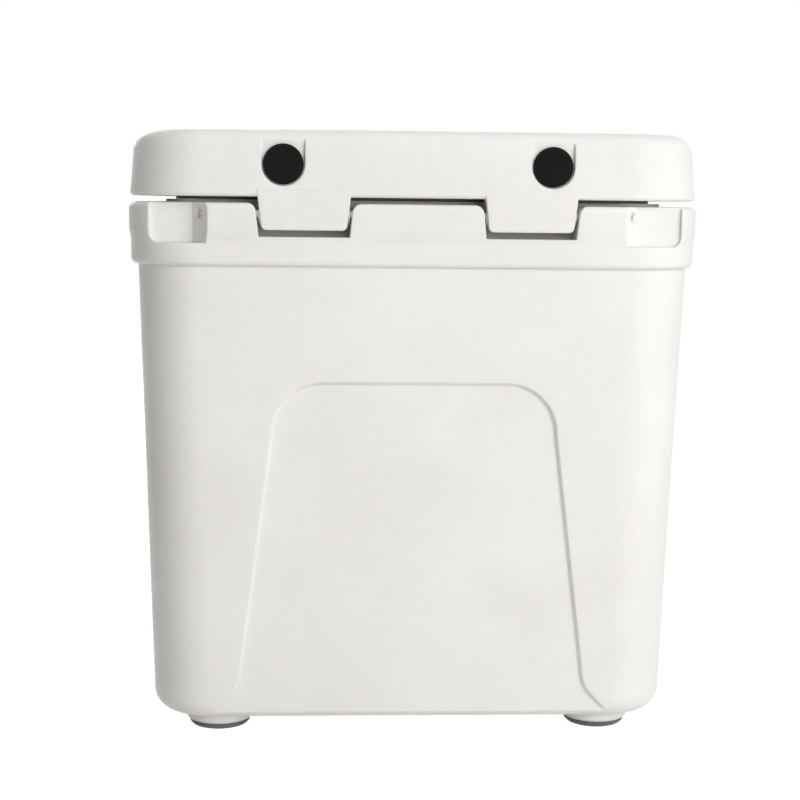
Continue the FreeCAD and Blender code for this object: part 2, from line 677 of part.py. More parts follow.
def add_lugs(body):
    """The two hinge lugs, with round lower corners and a round outer edge."""
    lugs = new_body("lid_lugs", several=True)
    for side in SIDES.values():
        middle = mirrored(side, "hinge_centre")
        low = "(notch_half + notch_lean * (notch_drop - lug_drop) - lug_gap)"
        high = "(notch_half + notch_lean * (notch_drop + hinge_drop + lid_gap + lid_band) - lug_gap)"
        sketch = new_sketch(lugs, "XZ_Plane", "-(hinge_y + lug_behind)")
        bottom = "hinge_z - lug_drop"
        draw_outline(sketch, [
            (f"{middle} - {low} + lug_round", bottom, "lug_round"),
            (f"{middle} + {low} - lug_round", bottom),
            (f"{middle} + {low}", f"{bottom} + lug_round", "lug_round"),
            (f"{middle} + {high}", "lid_bottom + lid_band"),
            (f"{middle} - {high}", "lid_bottom + lid_band"),
            (f"{middle} - {low}", f"{bottom} + lug_round"),
        ])
        pad(lugs, sketch, "hinge_in + lug_behind - lid_inset")
    return lugs


def outer_lid():
    """The lid as its outside shows it, with lugs, plug seats and gasket groove."""
    body = lid_form("lid_outer", "0")
    joined = body.newObject("PartDesign::Boolean", "lugs_joined")
    joined.setObjects([add_lugs(body)])
    joined.Type = "Fuse"
    doc.recompute()
    for side in SIDES.values():
        middle = mirrored(side, "plug_centre")
        sketch = new_sketch(body, "XZ_Plane", "-(lid_back - 1)")
        draw_outline(sketch, [
            (f"{middle} - plug_recess", "lid_bottom + plug_rise"),
            (middle, "lid_bottom + plug_rise - plug_recess", "plug_recess"),
            (f"{middle} + plug_recess", "lid_bottom + plug_rise", "plug_recess"),
            (f"{middle} + plug_recess", "lid_top + 1"),
            (f"{middle} - plug_recess", "lid_top + 1"),
        ])
        pocket(body, sketch, "plug_depth + 1")
        rod(body, "Subtractive", "Y", (middle, "lid_back", "lid_bottom + plug_rise"), "plug_shank",
            "plug_depth + skin + 2")
        x = span(side, "pin_inner", "pocket_inner")
        rod(body, "Subtractive", "X", (x[0], "hinge_y", "hinge_z"), "bush_radius + seat_gap",
            "pocket_inner - pin_inner")
        hinge = mirrored(side, "hinge_centre")
        for end in SIDES.values():
            seat = f"{hinge} + {end} * (bush_seat + 2) - 2"
            rod(body, "Subtractive", "X", (seat, "hinge_y", "hinge_z"), "bush_flange + 1", "4")
        pin = mirrored(side, "latch_centre")
        rod(body, "Subtractive", "X", (f"{pin} - latch_half - latch_pin_reach - 1", "latch_y", "latch_z"),
            "latch_pin + pin_run", "2 * (latch_half + latch_pin_reach + 1)")
    sketch = new_sketch(body, "XY_Plane", "lid_bottom")
    draw_gasket(sketch, "0")
    pocket(body, sketch, "gasket_groove", outwards=True)
    return body


def draw_gasket(sketch, play):
    """Ring outline of the gasket or, with no play, of its groove."""
    for inset, corner in ((f"gasket_inset + {play}", "inner_corner"),
                          (f"gasket_inset + gasket_width - {play}", "inner_corner - gasket_width")):
        draw_rounded_rectangle(sketch, f"rim_width - 2 * ({inset})", f"rim_depth - 2 * ({inset})", corner)


def lid_hollow(label, inset):
    """What lies between the lid's skins, less the solid plastic round plugs and latch pins."""
    body = lid_form(label, inset)
    for side in SIDES.values():
        middle = mirrored(side, "plug_centre")
        block(body, "Subtractive", (f"{middle} - plug_recess - {inset}", f"{middle} + plug_recess + {inset}"),
              ("back", f"lid_back + plug_depth + {inset}"), ("rim_top", "lid_top + 1"))
        pin, reach = mirrored(side, "latch_centre"), f"latch_half + latch_pin_reach + 1 + {inset}"
        block(body, "Subtractive", (f"{pin} - ({reach})", f"{pin} + {reach}"),
              (f"latch_y - latch_pin - 1 - {inset}", "front"), ("rim_top", f"latch_z + latch_pin + {inset}"))
    return body


def make_lid():
    cut_away(outer_lid(), lid_hollow("lid_hollow", "skin"), "lid_shell")
    keep(lid_hollow("lid_foam", "(skin + foam_gap)"), "lid_foam")
    gasket = new_body("lid_gasket")
    sketch = new_sketch(gasket, "XY_Plane", "rim_top + land_rise + seat_gap")
    draw_gasket(sketch, "foam_gap")
    pad(gasket, sketch, "lid_gap - land_rise + gasket_groove - 2 * seat_gap")
    keep(gasket, "lid_gasket")
    for name, side in SIDES.items():
        plug = new_body(f"lid_plug_{name}")
        revolve(plug, "YZ_Plane", [
            ("plug_head + skin", "0"), ("0", "0"), ("plug_crown", "plug_radius - 2"),
            ("plug_crown + 1.6", "plug_radius"), ("plug_head", "plug_radius"),
            ("plug_head", "plug_shank - seat_gap"), ("plug_head + skin", "plug_shank - seat_gap"),
        ])
        tie(plug, Placement__Base__x=mirrored(side, "plug_centre"),
            Placement__Base__y="lid_back + plug_depth - plug_head - 0.5",
            Placement__Base__z="lid_bottom + plug_rise")
        keep(plug, f"lid_plug_{name}")


# ---------------------------------------------------------------- hinge

def make_hinge():
    for name, side in SIDES.items():
        pin = new_body(f"hinge_pin_{name}")
        x = span(side, "pin_inner", "pocket_inner + pin_end")
        rod(pin, "Additive", "X", (x[0], "hinge_y", "hinge_z"), "pin_radius",
            "pocket_inner + pin_end - pin_inner")
        round_edges(pin, "0.6", lambda box, edge: box.XMax - box.XMin < 0.01, kind="Chamfer")
        keep(pin, f"hinge_pin_{name}")
        bushes = new_body(f"hinge_bushings_{name}", several=True)
        for end in SIDES.values():
            middle = mirrored(side, "hinge_centre")
            tube = span(end, "bush_seat - bush_length", "bush_seat + bush_flange_thickness")
            flange = span(end, "bush_seat", "bush_seat + bush_flange_thickness")
            start = (f"{middle} + {tube[0]}", "hinge_y", "hinge_z")
            rod(bushes, "Additive", "X", start, "bush_radius", "bush_length + bush_flange_thickness")
            rod(bushes, "Additive", "X", (f"{middle} + {flange[0]}", "hinge_y", "hinge_z"), "bush_flange",
                "bush_flange_thickness")
            rod(bushes, "Subtractive", "X", start, "pin_radius + pin_run",
                "bush_length + bush_flange_thickness")
        keep(bushes, f"hinge_bushings_{name}")


# ---------------------------------------------------------------- telescopic handle

def make_tubes(label, radius, low, high):
    """A pair of round tubes on the two rails."""
    tubes = new_body(label, several=True)
    for side in SIDES.values():
        start = (mirrored(side, "rail_half"), "rail_y", low)
        rod(tubes, "Additive", "Z", start, radius, f"({high}) - ({low})")
        rod(tubes, "Subtractive", "Z", start, f"{radius} - tube_wall", f"({high}) - ({low})")
    return keep(tubes, label)


def make_cross_piece(label, low, high):
    """Moulded plate that bridges the channel and holds both rails and two screws."""
    plate = new_body(label)
    block(plate, "Additive", ("-bezel_half", "bezel_half"), ("channel_y + seat_gap", "channel_y + bezel_out"),
          (low, high))
    round_edges(plate, "5", lambda box, edge: box.ZMax - box.ZMin > 5 and box.YMin > number("channel_y + 5"))
    for x, y, z in handle_screw_places():
        if number(low) < number(z) < number(high):
            rod(plate, "Subtractive", "Y", (x, "channel_y", z), "screw_radius + seat_gap", "bezel_out")
            rod(plate, "Subtractive", "Y", (x, "channel_y + screw_seat", z), "screw_head + 0.4", "bezel_out")
    return plate


def make_handle():
    low = "channel_z + outer_low"
    make_tubes("handle_outer_tubes", "outer_radius", low, "bezel_bottom - seat_gap")
    make_tubes("handle_middle_tubes", "middle_radius", f"{low} + tube_step", "middle_top")
    make_tubes("handle_inner_tubes", "inner_radius", f"{low} + 2 * tube_step", "grip_bottom - tube_in_grip")
    bezel = make_cross_piece("handle_bezel", "bezel_bottom", "bezel_top")
    bracket_bottom = "channel_z + bracket_low"
    bracket = make_cross_piece("handle_foot_bracket", bracket_bottom, f"{bracket_bottom} + bracket_height")
    for side in SIDES.values():
        rail = (mirrored(side, "rail_half"), "rail_y")
        rod(bezel, "Subtractive", "Z", (*rail, "bezel_bottom"), "middle_radius + tube_gap", "bezel_height")
        rod(bracket, "Subtractive", "Z", (*rail, f"{low} - seat_gap"), "outer_radius + seat_gap",
            "bracket_height")
    keep(bezel, "handle_bezel")
    keep(bracket, "handle_foot_bracket")
    collars = new_body("handle_collars", several=True)
    for side in SIDES.values():
        start = (mirrored(side, "rail_half"), "rail_y", "bezel_top + seat_gap")
        rod(collars, "Additive", "Z", start, "collar_radius", "collar_height")
        rod(collars, "Subtractive", "Z", start, "middle_radius + seat_gap", "middle_top - bezel_top")
        rod(collars, "Subtractive", "Z", start, "inner_radius + tube_gap", "collar_height")
    keep(collars, "handle_collars")
    make_grip()
    screws = new_body("handle_screws", several=True)
    for x, y, z in handle_screw_places():
        seat = "channel_y + screw_seat"
        rod(screws, "Additive", "Y", (x, f"{seat} - screw_length", z), "screw_radius", "screw_length")
        rod(screws, "Additive", "Y", (x, seat, z), "screw_head", "screw_head_height")
        rod(screws, "Subtractive", "Y", (x, f"{seat} + 1", z), "screw_hex", "screw_head_height",
            shape="Prism")
    keep(screws, "handle_screws")


def make_grip():
    """Grip with its button, the spring under it and the rods that reach down the inner tubes."""
    grip = new_body("grip")
    thick = ("rail_y - grip_thickness / 2", "rail_y + grip_thickness / 2")
    block(grip, "Additive", ("-grip_half", "grip_half"), thick, ("grip_bottom", "grip_top"))
    round_edges(grip, "grip_round", lambda box, edge: box.XMax - box.XMin > 9)
    round_edges(grip, "grip_round - 1", lambda box, edge: box.XMax - box.XMin < 0.1
                and abs(abs(box.XMin) - number("grip_half")) < 0.1)
    for side in SIDES.values():
        rail, collar_top = (mirrored(side, "rail_half"), "rail_y"), "(bezel_top + collar_height)"
        rod(grip, "Additive", "Z", (*rail, f"{collar_top} + 1"), "grip_socket",
            f"grip_bottom + 3 - {collar_top}")
        rod(grip, "Subtractive", "Z", (*rail, collar_top), "inner_radius + seat_gap",
            f"grip_bottom - tube_in_grip + seat_gap - {collar_top}")
        rod(grip, "Subtractive", "Z", (*rail, "grip_bottom - 9"), "rod_radius + 0.7", "14")
    block(grip, "Subtractive", ("-rail_half - bar_half - 1", "rail_half + bar_half + 1"),
          ("rail_y - bar_half - 1", "rail_y + bar_half + 1"),
          ("tunnel_bottom", "bar_bottom + bar_height + 1"))
    button_y = ("rail_y - button_thickness / 2", "rail_y + button_thickness / 2")
    block(grip, "Subtractive", ("-button_half - 0.5", "button_half + 0.5"),
          (f"{button_y[0]} - 0.5", f"{button_y[1]} + 0.5"), ("tunnel_bottom", "grip_top + 1"))
    keep(grip, "grip")
    button = new_body("release_button")
    block(button, "Additive", ("-button_half", "button_half"), button_y,
          ("bar_bottom", "grip_top + button_proud"))
    round_edges(button, "1.5", flat_at("grip_top + button_proud"))
    block(button, "Additive", ("-rail_half - bar_half", "rail_half + bar_half"),
          ("rail_y - bar_half", "rail_y + bar_half"), ("bar_bottom", "bar_bottom + bar_height"))
    keep(button, "release_button")
    rods = new_body("push_rods", several=True)
    for side in SIDES.values():
        start = (mirrored(side, "rail_half"), "rail_y", "channel_z + rod_low")
        rod(rods, "Additive", "Z", start, "rod_radius", "bar_bottom - channel_z - rod_low - 0.05")
    keep(rods, "push_rods")
    spring = new_body("release_spring")
    sketch = new_sketch(spring, "XZ_Plane")
    draw_outline(sketch, [
        ("spring_radius - spring_wire", "0", "spring_wire"), ("spring_radius", "-spring_wire", "spring_wire"),
        ("spring_radius + spring_wire", "0", "spring_wire"), ("spring_radius", "spring_wire", "spring_wire"),
    ])
    doc.recompute()
    coil = spring.newObject("PartDesign::AdditiveHelix", "coil")
    coil.Profile = sketch
    coil.ReferenceAxis = (sketch, ["V_Axis"])
    coil.Mode = "height-turns-angle"
    tie(coil, Height="spring_height", Turns="spring_turns")
    doc.recompute()
    tie(spring, Placement__Base__y="rail_y", Placement__Base__z="tunnel_bottom + spring_wire + 0.05")
    keep(spring, "release_spring")


# ---------------------------------------------------------------- wheels and feet

def make_wheels():
    half = "wheel_width / 2"
    for name, side in SIDES.items():
        middle = mirrored(side, "wheel_inner + wheel_width / 2")
        place = {"Placement__Base__x": middle, "Placement__Base__y": "wheel_y",
                 "Placement__Base__z": "wheel_radius"}
        rim_radius = "(wheel_radius - tyre_depth)"
        wheel = new_body(f"wheel_rim_{name}")
        revolve(wheel, "XZ_Plane", [
            (f"-{half}", "wheel_bush + seat_gap"), (half, "wheel_bush + seat_gap"), (half, "hub_radius - 2"),
            (f"{half} - 2", "hub_radius"), ("web_thickness / 2", "hub_radius + 2"),
            ("web_thickness / 2", f"{rim_radius} - 9"), ("lip_width / 2", f"{rim_radius} - 6"),
            ("lip_width / 2", rim_radius), ("-lip_width / 2", rim_radius),
            ("-lip_width / 2", f"{rim_radius} - 6"),
            ("-web_thickness / 2", f"{rim_radius} - 9"), ("-web_thickness / 2", "hub_radius + 2"),
            (f"-{half} + 2", "hub_radius"), (f"-{half}", "hub_radius - 2"),
        ])
        cut_spoke_holes(wheel, rim_radius)
        tie(wheel, **place)
        keep(wheel, f"wheel_rim_{name}")
        tyre = new_body(f"tyre_{name}")
        revolve(tyre, "XZ_Plane", [
            ("-lip_width / 2 - 1", f"{rim_radius} + seat_gap"),
            ("lip_width / 2 + 1", f"{rim_radius} + seat_gap"),
            (half, f"{rim_radius} + 3"), (half, "wheel_radius - tyre_round"),
            (f"{half} - tyre_round", "wheel_radius", "tyre_round"), (f"tyre_round - {half}", "wheel_radius"),
            (f"-{half}", "wheel_radius - tyre_round", "tyre_round"), (f"-{half}", f"{rim_radius} + 3"),
        ])
        tie(tyre, **place)
        keep(tyre, f"tyre_{name}")
        bushes = new_body(f"wheel_bushings_{name}", several=True)
        for end in SIDES.values():
            tube = span(end, f"{half} - bush_depth", f"{half} + bush_rim")
            flange = span(end, f"{half} + seat_gap", f"{half} + bush_rim")
            rod(bushes, "Additive", "X", (tube[0], "0", "0"), "wheel_bush", "bush_depth + bush_rim")
            rod(bushes, "Additive", "X", (flange[0], "0", "0"), "wheel_bush + 3", "bush_rim - seat_gap")
            rod(bushes, "Subtractive", "X", (tube[0], "0", "0"), "axle_radius + pin_run",
                "bush_depth + bush_rim")
        tie(bushes, **place)
        keep(bushes, f"wheel_bushings_{name}")
        cap = new_body(f"axle_cap_{name}")
        whole, bore = span(side, "cap_in", "cap_out"), span(side, "cap_in - cap_skin", "cap_out - cap_skin")
        rod(cap, "Additive", "X", (whole[0], "wheel_y", "wheel_radius"), "cap_radius", "cap_thickness")
        round_edges(cap, "2", lambda box, edge: box.XMax - box.XMin < 0.01
                    and abs(abs(box.XMin) - number("cap_out")) < 0.01)
        rod(cap, "Subtractive", "X", (bore[0], "wheel_y", "wheel_radius"), "axle_radius + pin_run",
            "cap_thickness")
        keep(cap, f"axle_cap_{name}")
    make_axle()


def cut_spoke_holes(wheel, rim_radius):
    """Ring of round holes through the web."""
    first = rod(wheel, "Subtractive", "X", ("-web_thickness", "0", f"(hub_radius + {rim_radius}) / 2 - 3"),
                "spoke_hole_radius", "2 * web_thickness")
    ring = wheel.newObject("PartDesign::PolarPattern", "spoke_holes")
    ring.Originals = [first]
    ring.Axis = ([o for o in wheel.Origin.OriginFeatures if o.Role == "X_Axis"][0], [""])
    ring.Angle = 360
    ring.Occurrences = int(number("spoke_holes"))
    wheel.Tip = ring
    doc.recompute()


def make_axle():
    reach = "cap_out - cap_skin - 0.2"
    axle = new_body("axle")
    rod(axle, "Additive", "X", (f"-({reach})", "wheel_y", "wheel_radius"), "axle_radius", f"2 * ({reach})")
    keep(axle, "axle")
    sleeve = new_body("axle_sleeve")
    for kind, radius in (("Additive", "sleeve_radius"), ("Subtractive", "axle_radius + tube_gap")):
        rod(sleeve, kind, "X", ("-well_wall", "wheel_y", "wheel_radius"), radius, "2 * well_wall")
    keep(sleeve, "axle_sleeve")
    washers = new_body("axle_washers", several=True)
    for side in SIDES.values():
        low, high = "well_wall + seat_gap", "wheel_inner - bush_rim - 0.4"
        start = (span(side, low, high)[0], "wheel_y", "wheel_radius")
        for kind, radius in (("Additive", "washer_radius"), ("Subtractive", "axle_radius + seat_gap")):
            rod(washers, kind, "X", start, radius, f"{high} - ({low})")
    keep(washers, "axle_washers")


def make_feet():
    screws = new_body("foot_screws", several=True)
    for name, side in SIDES.items():
        foot = new_body(f"foot_{name}")
        revolve(foot, "XZ_Plane", [
            ("screw_radius + seat_gap", "2"), ("screw_head + 0.4", "2"), ("screw_head + 0.4", "0"),
            ("foot_radius - 2", "0"), ("foot_radius", "2"), ("foot_radius", "foot_height"),
            ("screw_radius + seat_gap", "foot_height"),
        ], axis="V_Axis")
        tie(foot, Placement__Base__x=mirrored(side, "foot_centre"), Placement__Base__y="foot_y")
        keep(foot, f"foot_{name}")
        x = mirrored(side, "foot_centre")
        rod(screws, "Additive", "Z", (x, "foot_y", "0.6"), "screw_head", "1.3")
        rod(screws, "Additive", "Z", (x, "foot_y", "0.6"), "screw_radius", "screw_length")
        rod(screws, "Subtractive", "Z", (x, "foot_y", "0"), "screw_hex", "1.6", shape="Prism")
    keep(screws, "foot_screws")


# ---------------------------------------------------------------- latches and drain

def make_latches():
    """Rubber straps, stored released: each stands a few degrees off the keeper it presses into."""
    for name, side in SIDES.items():
        pin = new_body(f"latch_pin_{name}")
        middle = mirrored(side, "latch_centre")
        start = (f"{middle} - latch_half - latch_pin_reach", "latch_y", "latch_z")
        rod(pin, "Additive", "X", start, "latch_pin", "2 * (latch_half + latch_pin_reach)")
        keep(pin, f"latch_pin_{name}")
        strap = new_body(f"latch_strap_{name}")
        half_neck = "latch_thickness / 2"
        wide = ("-latch_half", "latch_half")
        rod(strap, "Additive", "X", ("-latch_half", "0", "0"), "latch_hub", "2 * latch_half")
        block(strap, "Additive", wide, (f"-{half_neck}", half_neck), ("-latch_rise - 2", "0"))
        block(strap, "Additive", ("-latch_neck", "latch_neck"), (f"-{half_neck}", half_neck),
              ("-latch_length", "0"))
        rod(strap, "Additive", "X", ("-latch_half", "0", "-latch_length"), "latch_bar", "2 * latch_half")
        sketch = new_sketch(strap, "YZ_Plane", "-latch_half + 2")
        draw_outline(sketch, [
            ("-2", "-latch_length"), ("3", "-latch_length - latch_tab"),
            ("6", "-latch_length - latch_tab - 3"),
            ("8", "-latch_length - latch_tab"), ("2.5", "-latch_length"),
        ])
        pad(strap, sketch, "2 * latch_half - 4")
        rod(strap, "Subtractive", "X", ("-latch_half", "0", "0"), "latch_pin + pin_run", "2 * latch_half")
        strap.Placement = FreeCAD.Placement(V(), FreeCAD.Rotation(V(1, 0, 0), 1))
        tie(strap, Placement__Base__x=middle, Placement__Base__y="latch_y", Placement__Base__z="latch_z",
            Placement__Rotation__Angle="latch_angle")
        keep(strap, f"latch_strap_{name}")


def make_drain():
    plug = new_body("drain_plug")
    rod(plug, "Additive", "X", ("drain_seat + 1.6", "drain_y", "drain_z"), "drain_head", "drain_cap")
    round_edges(plug, "1.5", lambda box, edge: box.XMax - box.XMin < 0.01
                and box.XMax > number("drain_seat + 5"))
    rod(plug, "Additive", "X", ("drain_seat - 20", "drain_y", "drain_z"), "drain_bore - tube_gap", "22")
    for low in ("drain_z + 7", "drain_z - 17"):
        block(plug, "Subtractive", ("drain_seat + 5", "drain_seat + drain_cap + 3"),
              ("drain_y - 14", "drain_y + 14"), (low, f"{low} + 10"))
    keep(plug, "drain_plug")
    seal = new_body("drain_seal")
    for kind, radius in (("Additive", "drain_bore + 5"), ("Subtractive", "drain_bore + 0.2")):
        rod(seal, kind, "X", ("drain_seat + seat_gap", "drain_y", "drain_z"), radius, "1.4")
    keep(seal, "drain_seal")


# ---------------------------------------------------------------- build, check and write

def check_everything():
    """Stops on any object that failed and on any piece that isn't a sound solid."""
    for thing in doc.Objects:
        if "Invalid" in thing.State or "Error" in thing.State:
            raise RuntimeError(f"{thing.Label} failed: {thing.State}")
    for piece in finished:
        if piece.Shape.isNull() or not piece.Shape.isValid():
            raise RuntimeError(f"{piece.Label} has no valid shape")


def write_parts():
    os.makedirs("parts", exist_ok=True)
    for piece in finished:
        piece.Shape.exportStep(f"parts/{piece.Label}.step")
        print(f"{piece.Label}: {len(piece.Shape.Solids)} solid(s), {piece.Shape.Volume / 1000:.1f} cm3")


fill_sheet()
make_body()
make_lid()
make_hinge()
make_handle()
make_wheels()
make_feet()
make_latches()
make_drain()
doc.recompute()
check_everything()
write_parts()
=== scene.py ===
"""A rotomoulded hard cooler on two wheels, dressed in its real finishes and lit for a plain studio view.

Lengths are metres. X runs along the hinge, Y points from the hinge side to the pull handle, and Z points up.
"""

import logging
import math
from dataclasses import dataclass
from enum import Enum
from functools import cache

import bpy
import numpy as np
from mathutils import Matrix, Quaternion, Vector


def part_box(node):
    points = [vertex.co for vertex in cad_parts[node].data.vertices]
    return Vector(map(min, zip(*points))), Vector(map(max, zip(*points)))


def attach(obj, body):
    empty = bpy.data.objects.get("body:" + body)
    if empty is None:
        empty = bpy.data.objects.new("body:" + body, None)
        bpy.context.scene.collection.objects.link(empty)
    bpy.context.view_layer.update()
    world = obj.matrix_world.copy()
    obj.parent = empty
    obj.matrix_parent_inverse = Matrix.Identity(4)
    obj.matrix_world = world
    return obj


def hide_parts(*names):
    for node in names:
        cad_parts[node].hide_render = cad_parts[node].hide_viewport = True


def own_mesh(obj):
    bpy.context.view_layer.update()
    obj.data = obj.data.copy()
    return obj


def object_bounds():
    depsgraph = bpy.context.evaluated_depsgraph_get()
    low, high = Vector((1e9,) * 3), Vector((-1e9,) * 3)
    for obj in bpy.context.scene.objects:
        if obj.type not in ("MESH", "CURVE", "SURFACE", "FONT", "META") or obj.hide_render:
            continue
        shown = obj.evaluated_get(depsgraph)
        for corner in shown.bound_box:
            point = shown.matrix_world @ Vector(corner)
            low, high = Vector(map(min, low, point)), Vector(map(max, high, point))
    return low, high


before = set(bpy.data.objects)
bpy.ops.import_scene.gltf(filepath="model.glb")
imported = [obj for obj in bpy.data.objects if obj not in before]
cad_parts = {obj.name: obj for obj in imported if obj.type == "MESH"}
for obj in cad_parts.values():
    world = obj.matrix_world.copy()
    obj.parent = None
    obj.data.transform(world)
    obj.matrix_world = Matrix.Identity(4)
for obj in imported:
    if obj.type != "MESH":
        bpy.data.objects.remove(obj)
cad_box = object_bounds()

LOG = logging.getLogger("cooler")
MM = 0.001
# Noise values at which the clouds reach the shade and the clean colour.
CLOUD_STOPS = (0.35, 0.65)
# Noise values at which the gloss is highest and lowest, and how many smears fit in one cloud.
SMEAR_STOPS = (0.3, 0.7)
SMEARS_A_CLOUD = 2.5
# Share of the way that green and blue light travel inside a white plastic, against red.
BLEED_SHARES = (1.0, 0.8, 0.5)
EDGE_SAMPLES = 6


class Side(Enum):
    """The two ends of the hinge line."""

    LEFT = -1
    RIGHT = 1

    def node(self, stem: str) -> str:
        """Name of this side's CAD node or body."""
        return f"{stem}_{self.name.lower()}"


# ---------------------------------------------------------------- helpers

def linear(code: str) -> tuple[float, float, float, float]:
    """Turns an sRGB hex value into a linear colour.

    Args:
        code: The colour as "#RRGGBB".

    Returns:
        Red, green, blue and an alpha of 1, all linear.
    """
    shares = [int(code[start:start + 2], 16) / 255 for start in (1, 3, 5)]
    red, green, blue = [s / 12.92 if s <= 0.04045 else ((s + 0.055) / 1.055) ** 2.4 for s in shares]
    return red, green, blue, 1.0


def add_node(tree: bpy.types.NodeTree, kind: str, settings: dict | None = None,
             links: dict | None = None) -> bpy.types.Node:
    """Adds one shader node with its settings and links.

    Args:
        tree: The node tree that gets the node.
        kind: Blender's name for the node type.
        settings: Values by input name or number, or by the node's own attribute; "ramp" sets a colour
            ramp's stops.
        links: Output sockets by the input name or number that they feed.

    Returns:
        The new node.
    """
    node = tree.nodes.new(kind)
    for name, value in (settings or {}).items():
        if name == "ramp":
            for stop, (place, colour) in zip(node.color_ramp.elements, value):
                stop.position, stop.color = place, colour
        elif isinstance(name, int) or name in node.inputs:
            node.inputs[name].default_value = value
        else:
            setattr(node, name, value)
    for name, output in (links or {}).items():
        tree.links.new(output, node.inputs[name])
    return node


def ease(value: np.ndarray, start: float, end: float) -> np.ndarray:
    """Smooth step from 0 at start to 1 at end, flat at both.

    Args:
        value: Where the step is read.
        start: Value at which the step is 0.
        end: Value at which the step is 1.

    Returns:
        The step, by the cubic 3t2 - 2t3 of the share t of the way across.
    """
    share = np.clip((value - start) / (end - start), 0, 1)
    return share * share * (3 - 2 * share)


def squared_circle(angle: np.ndarray, power: float) -> tuple[np.ndarray, np.ndarray]:
    """Unit superellipse: each of cosine and sine is raised to 2 / power with its sign kept.

    Args:
        angle: Angles round the outline.
        power: 2 is a circle, and larger is squarer.

    Returns:
        The two coordinates, each from -1 to 1.
    """
    cosine, sine = np.cos(angle), np.sin(angle)
    bend = 2 / power
    return np.sign(cosine) * np.abs(cosine) ** bend, np.sign(sine) * np.abs(sine) ** bend


def skin(name: str, rings: np.ndarray, joined: bool = False) -> bpy.types.Object:
    """Skins a run of closed rings with four-sided faces.

    Point p of ring r is joined to its neighbours in the ring and in the next ring. Joined rings meet end to
    end, as on a tyre; otherwise a fan to each end ring's middle closes the shape.

    Args:
        name: The new piece's name.
        rings: Points as rings x points round each ring x 3.
        joined: Whether the last ring meets the first.

    Returns:
        The new object, at the origin, smooth shaded, with its faces outwards.
    """
    count, around, _ = rings.shape
    points = rings.reshape(-1, 3)
    here = np.arange(count * around).reshape(count, around)
    beside = np.roll(here, -1, axis=1)
    ahead, ahead_beside = np.roll(here, -1, axis=0), np.roll(beside, -1, axis=0)
    quads = np.stack([here, beside, ahead_beside, ahead], axis=-1)
    fans = np.zeros((0, 3), int)
    if not joined:
        quads = quads[:-1]
        first, last = np.full(around, count * around), np.full(around, count * around + 1)
        points = np.vstack([points, rings[0].mean(axis=0), rings[-1].mean(axis=0)])
        fans = np.vstack([np.stack([first, beside[0], here[0]], axis=-1),
                          np.stack([last, here[-1], beside[-1]], axis=-1)])
    quads = quads.reshape(-1, 4)
    corners = np.vstack([quads[:, [0, 1, 2]], quads[:, [0, 2, 3]], fans])
    one, two, three = (points[corners[:, column]] for column in range(3))
    if (one * np.cross(two, three)).sum() < 0:
        quads, fans = quads[:, ::-1], fans[:, ::-1]
    mesh = bpy.data.meshes.new(name)
    mesh.from_pydata(points.tolist(), [], quads.tolist() + fans.tolist())
    mesh.shade_smooth()
    piece = bpy.data.objects.new(name, mesh)
    bpy.context.scene.collection.objects.link(piece)
    return piece


# ---------------------------------------------------------------- finishes

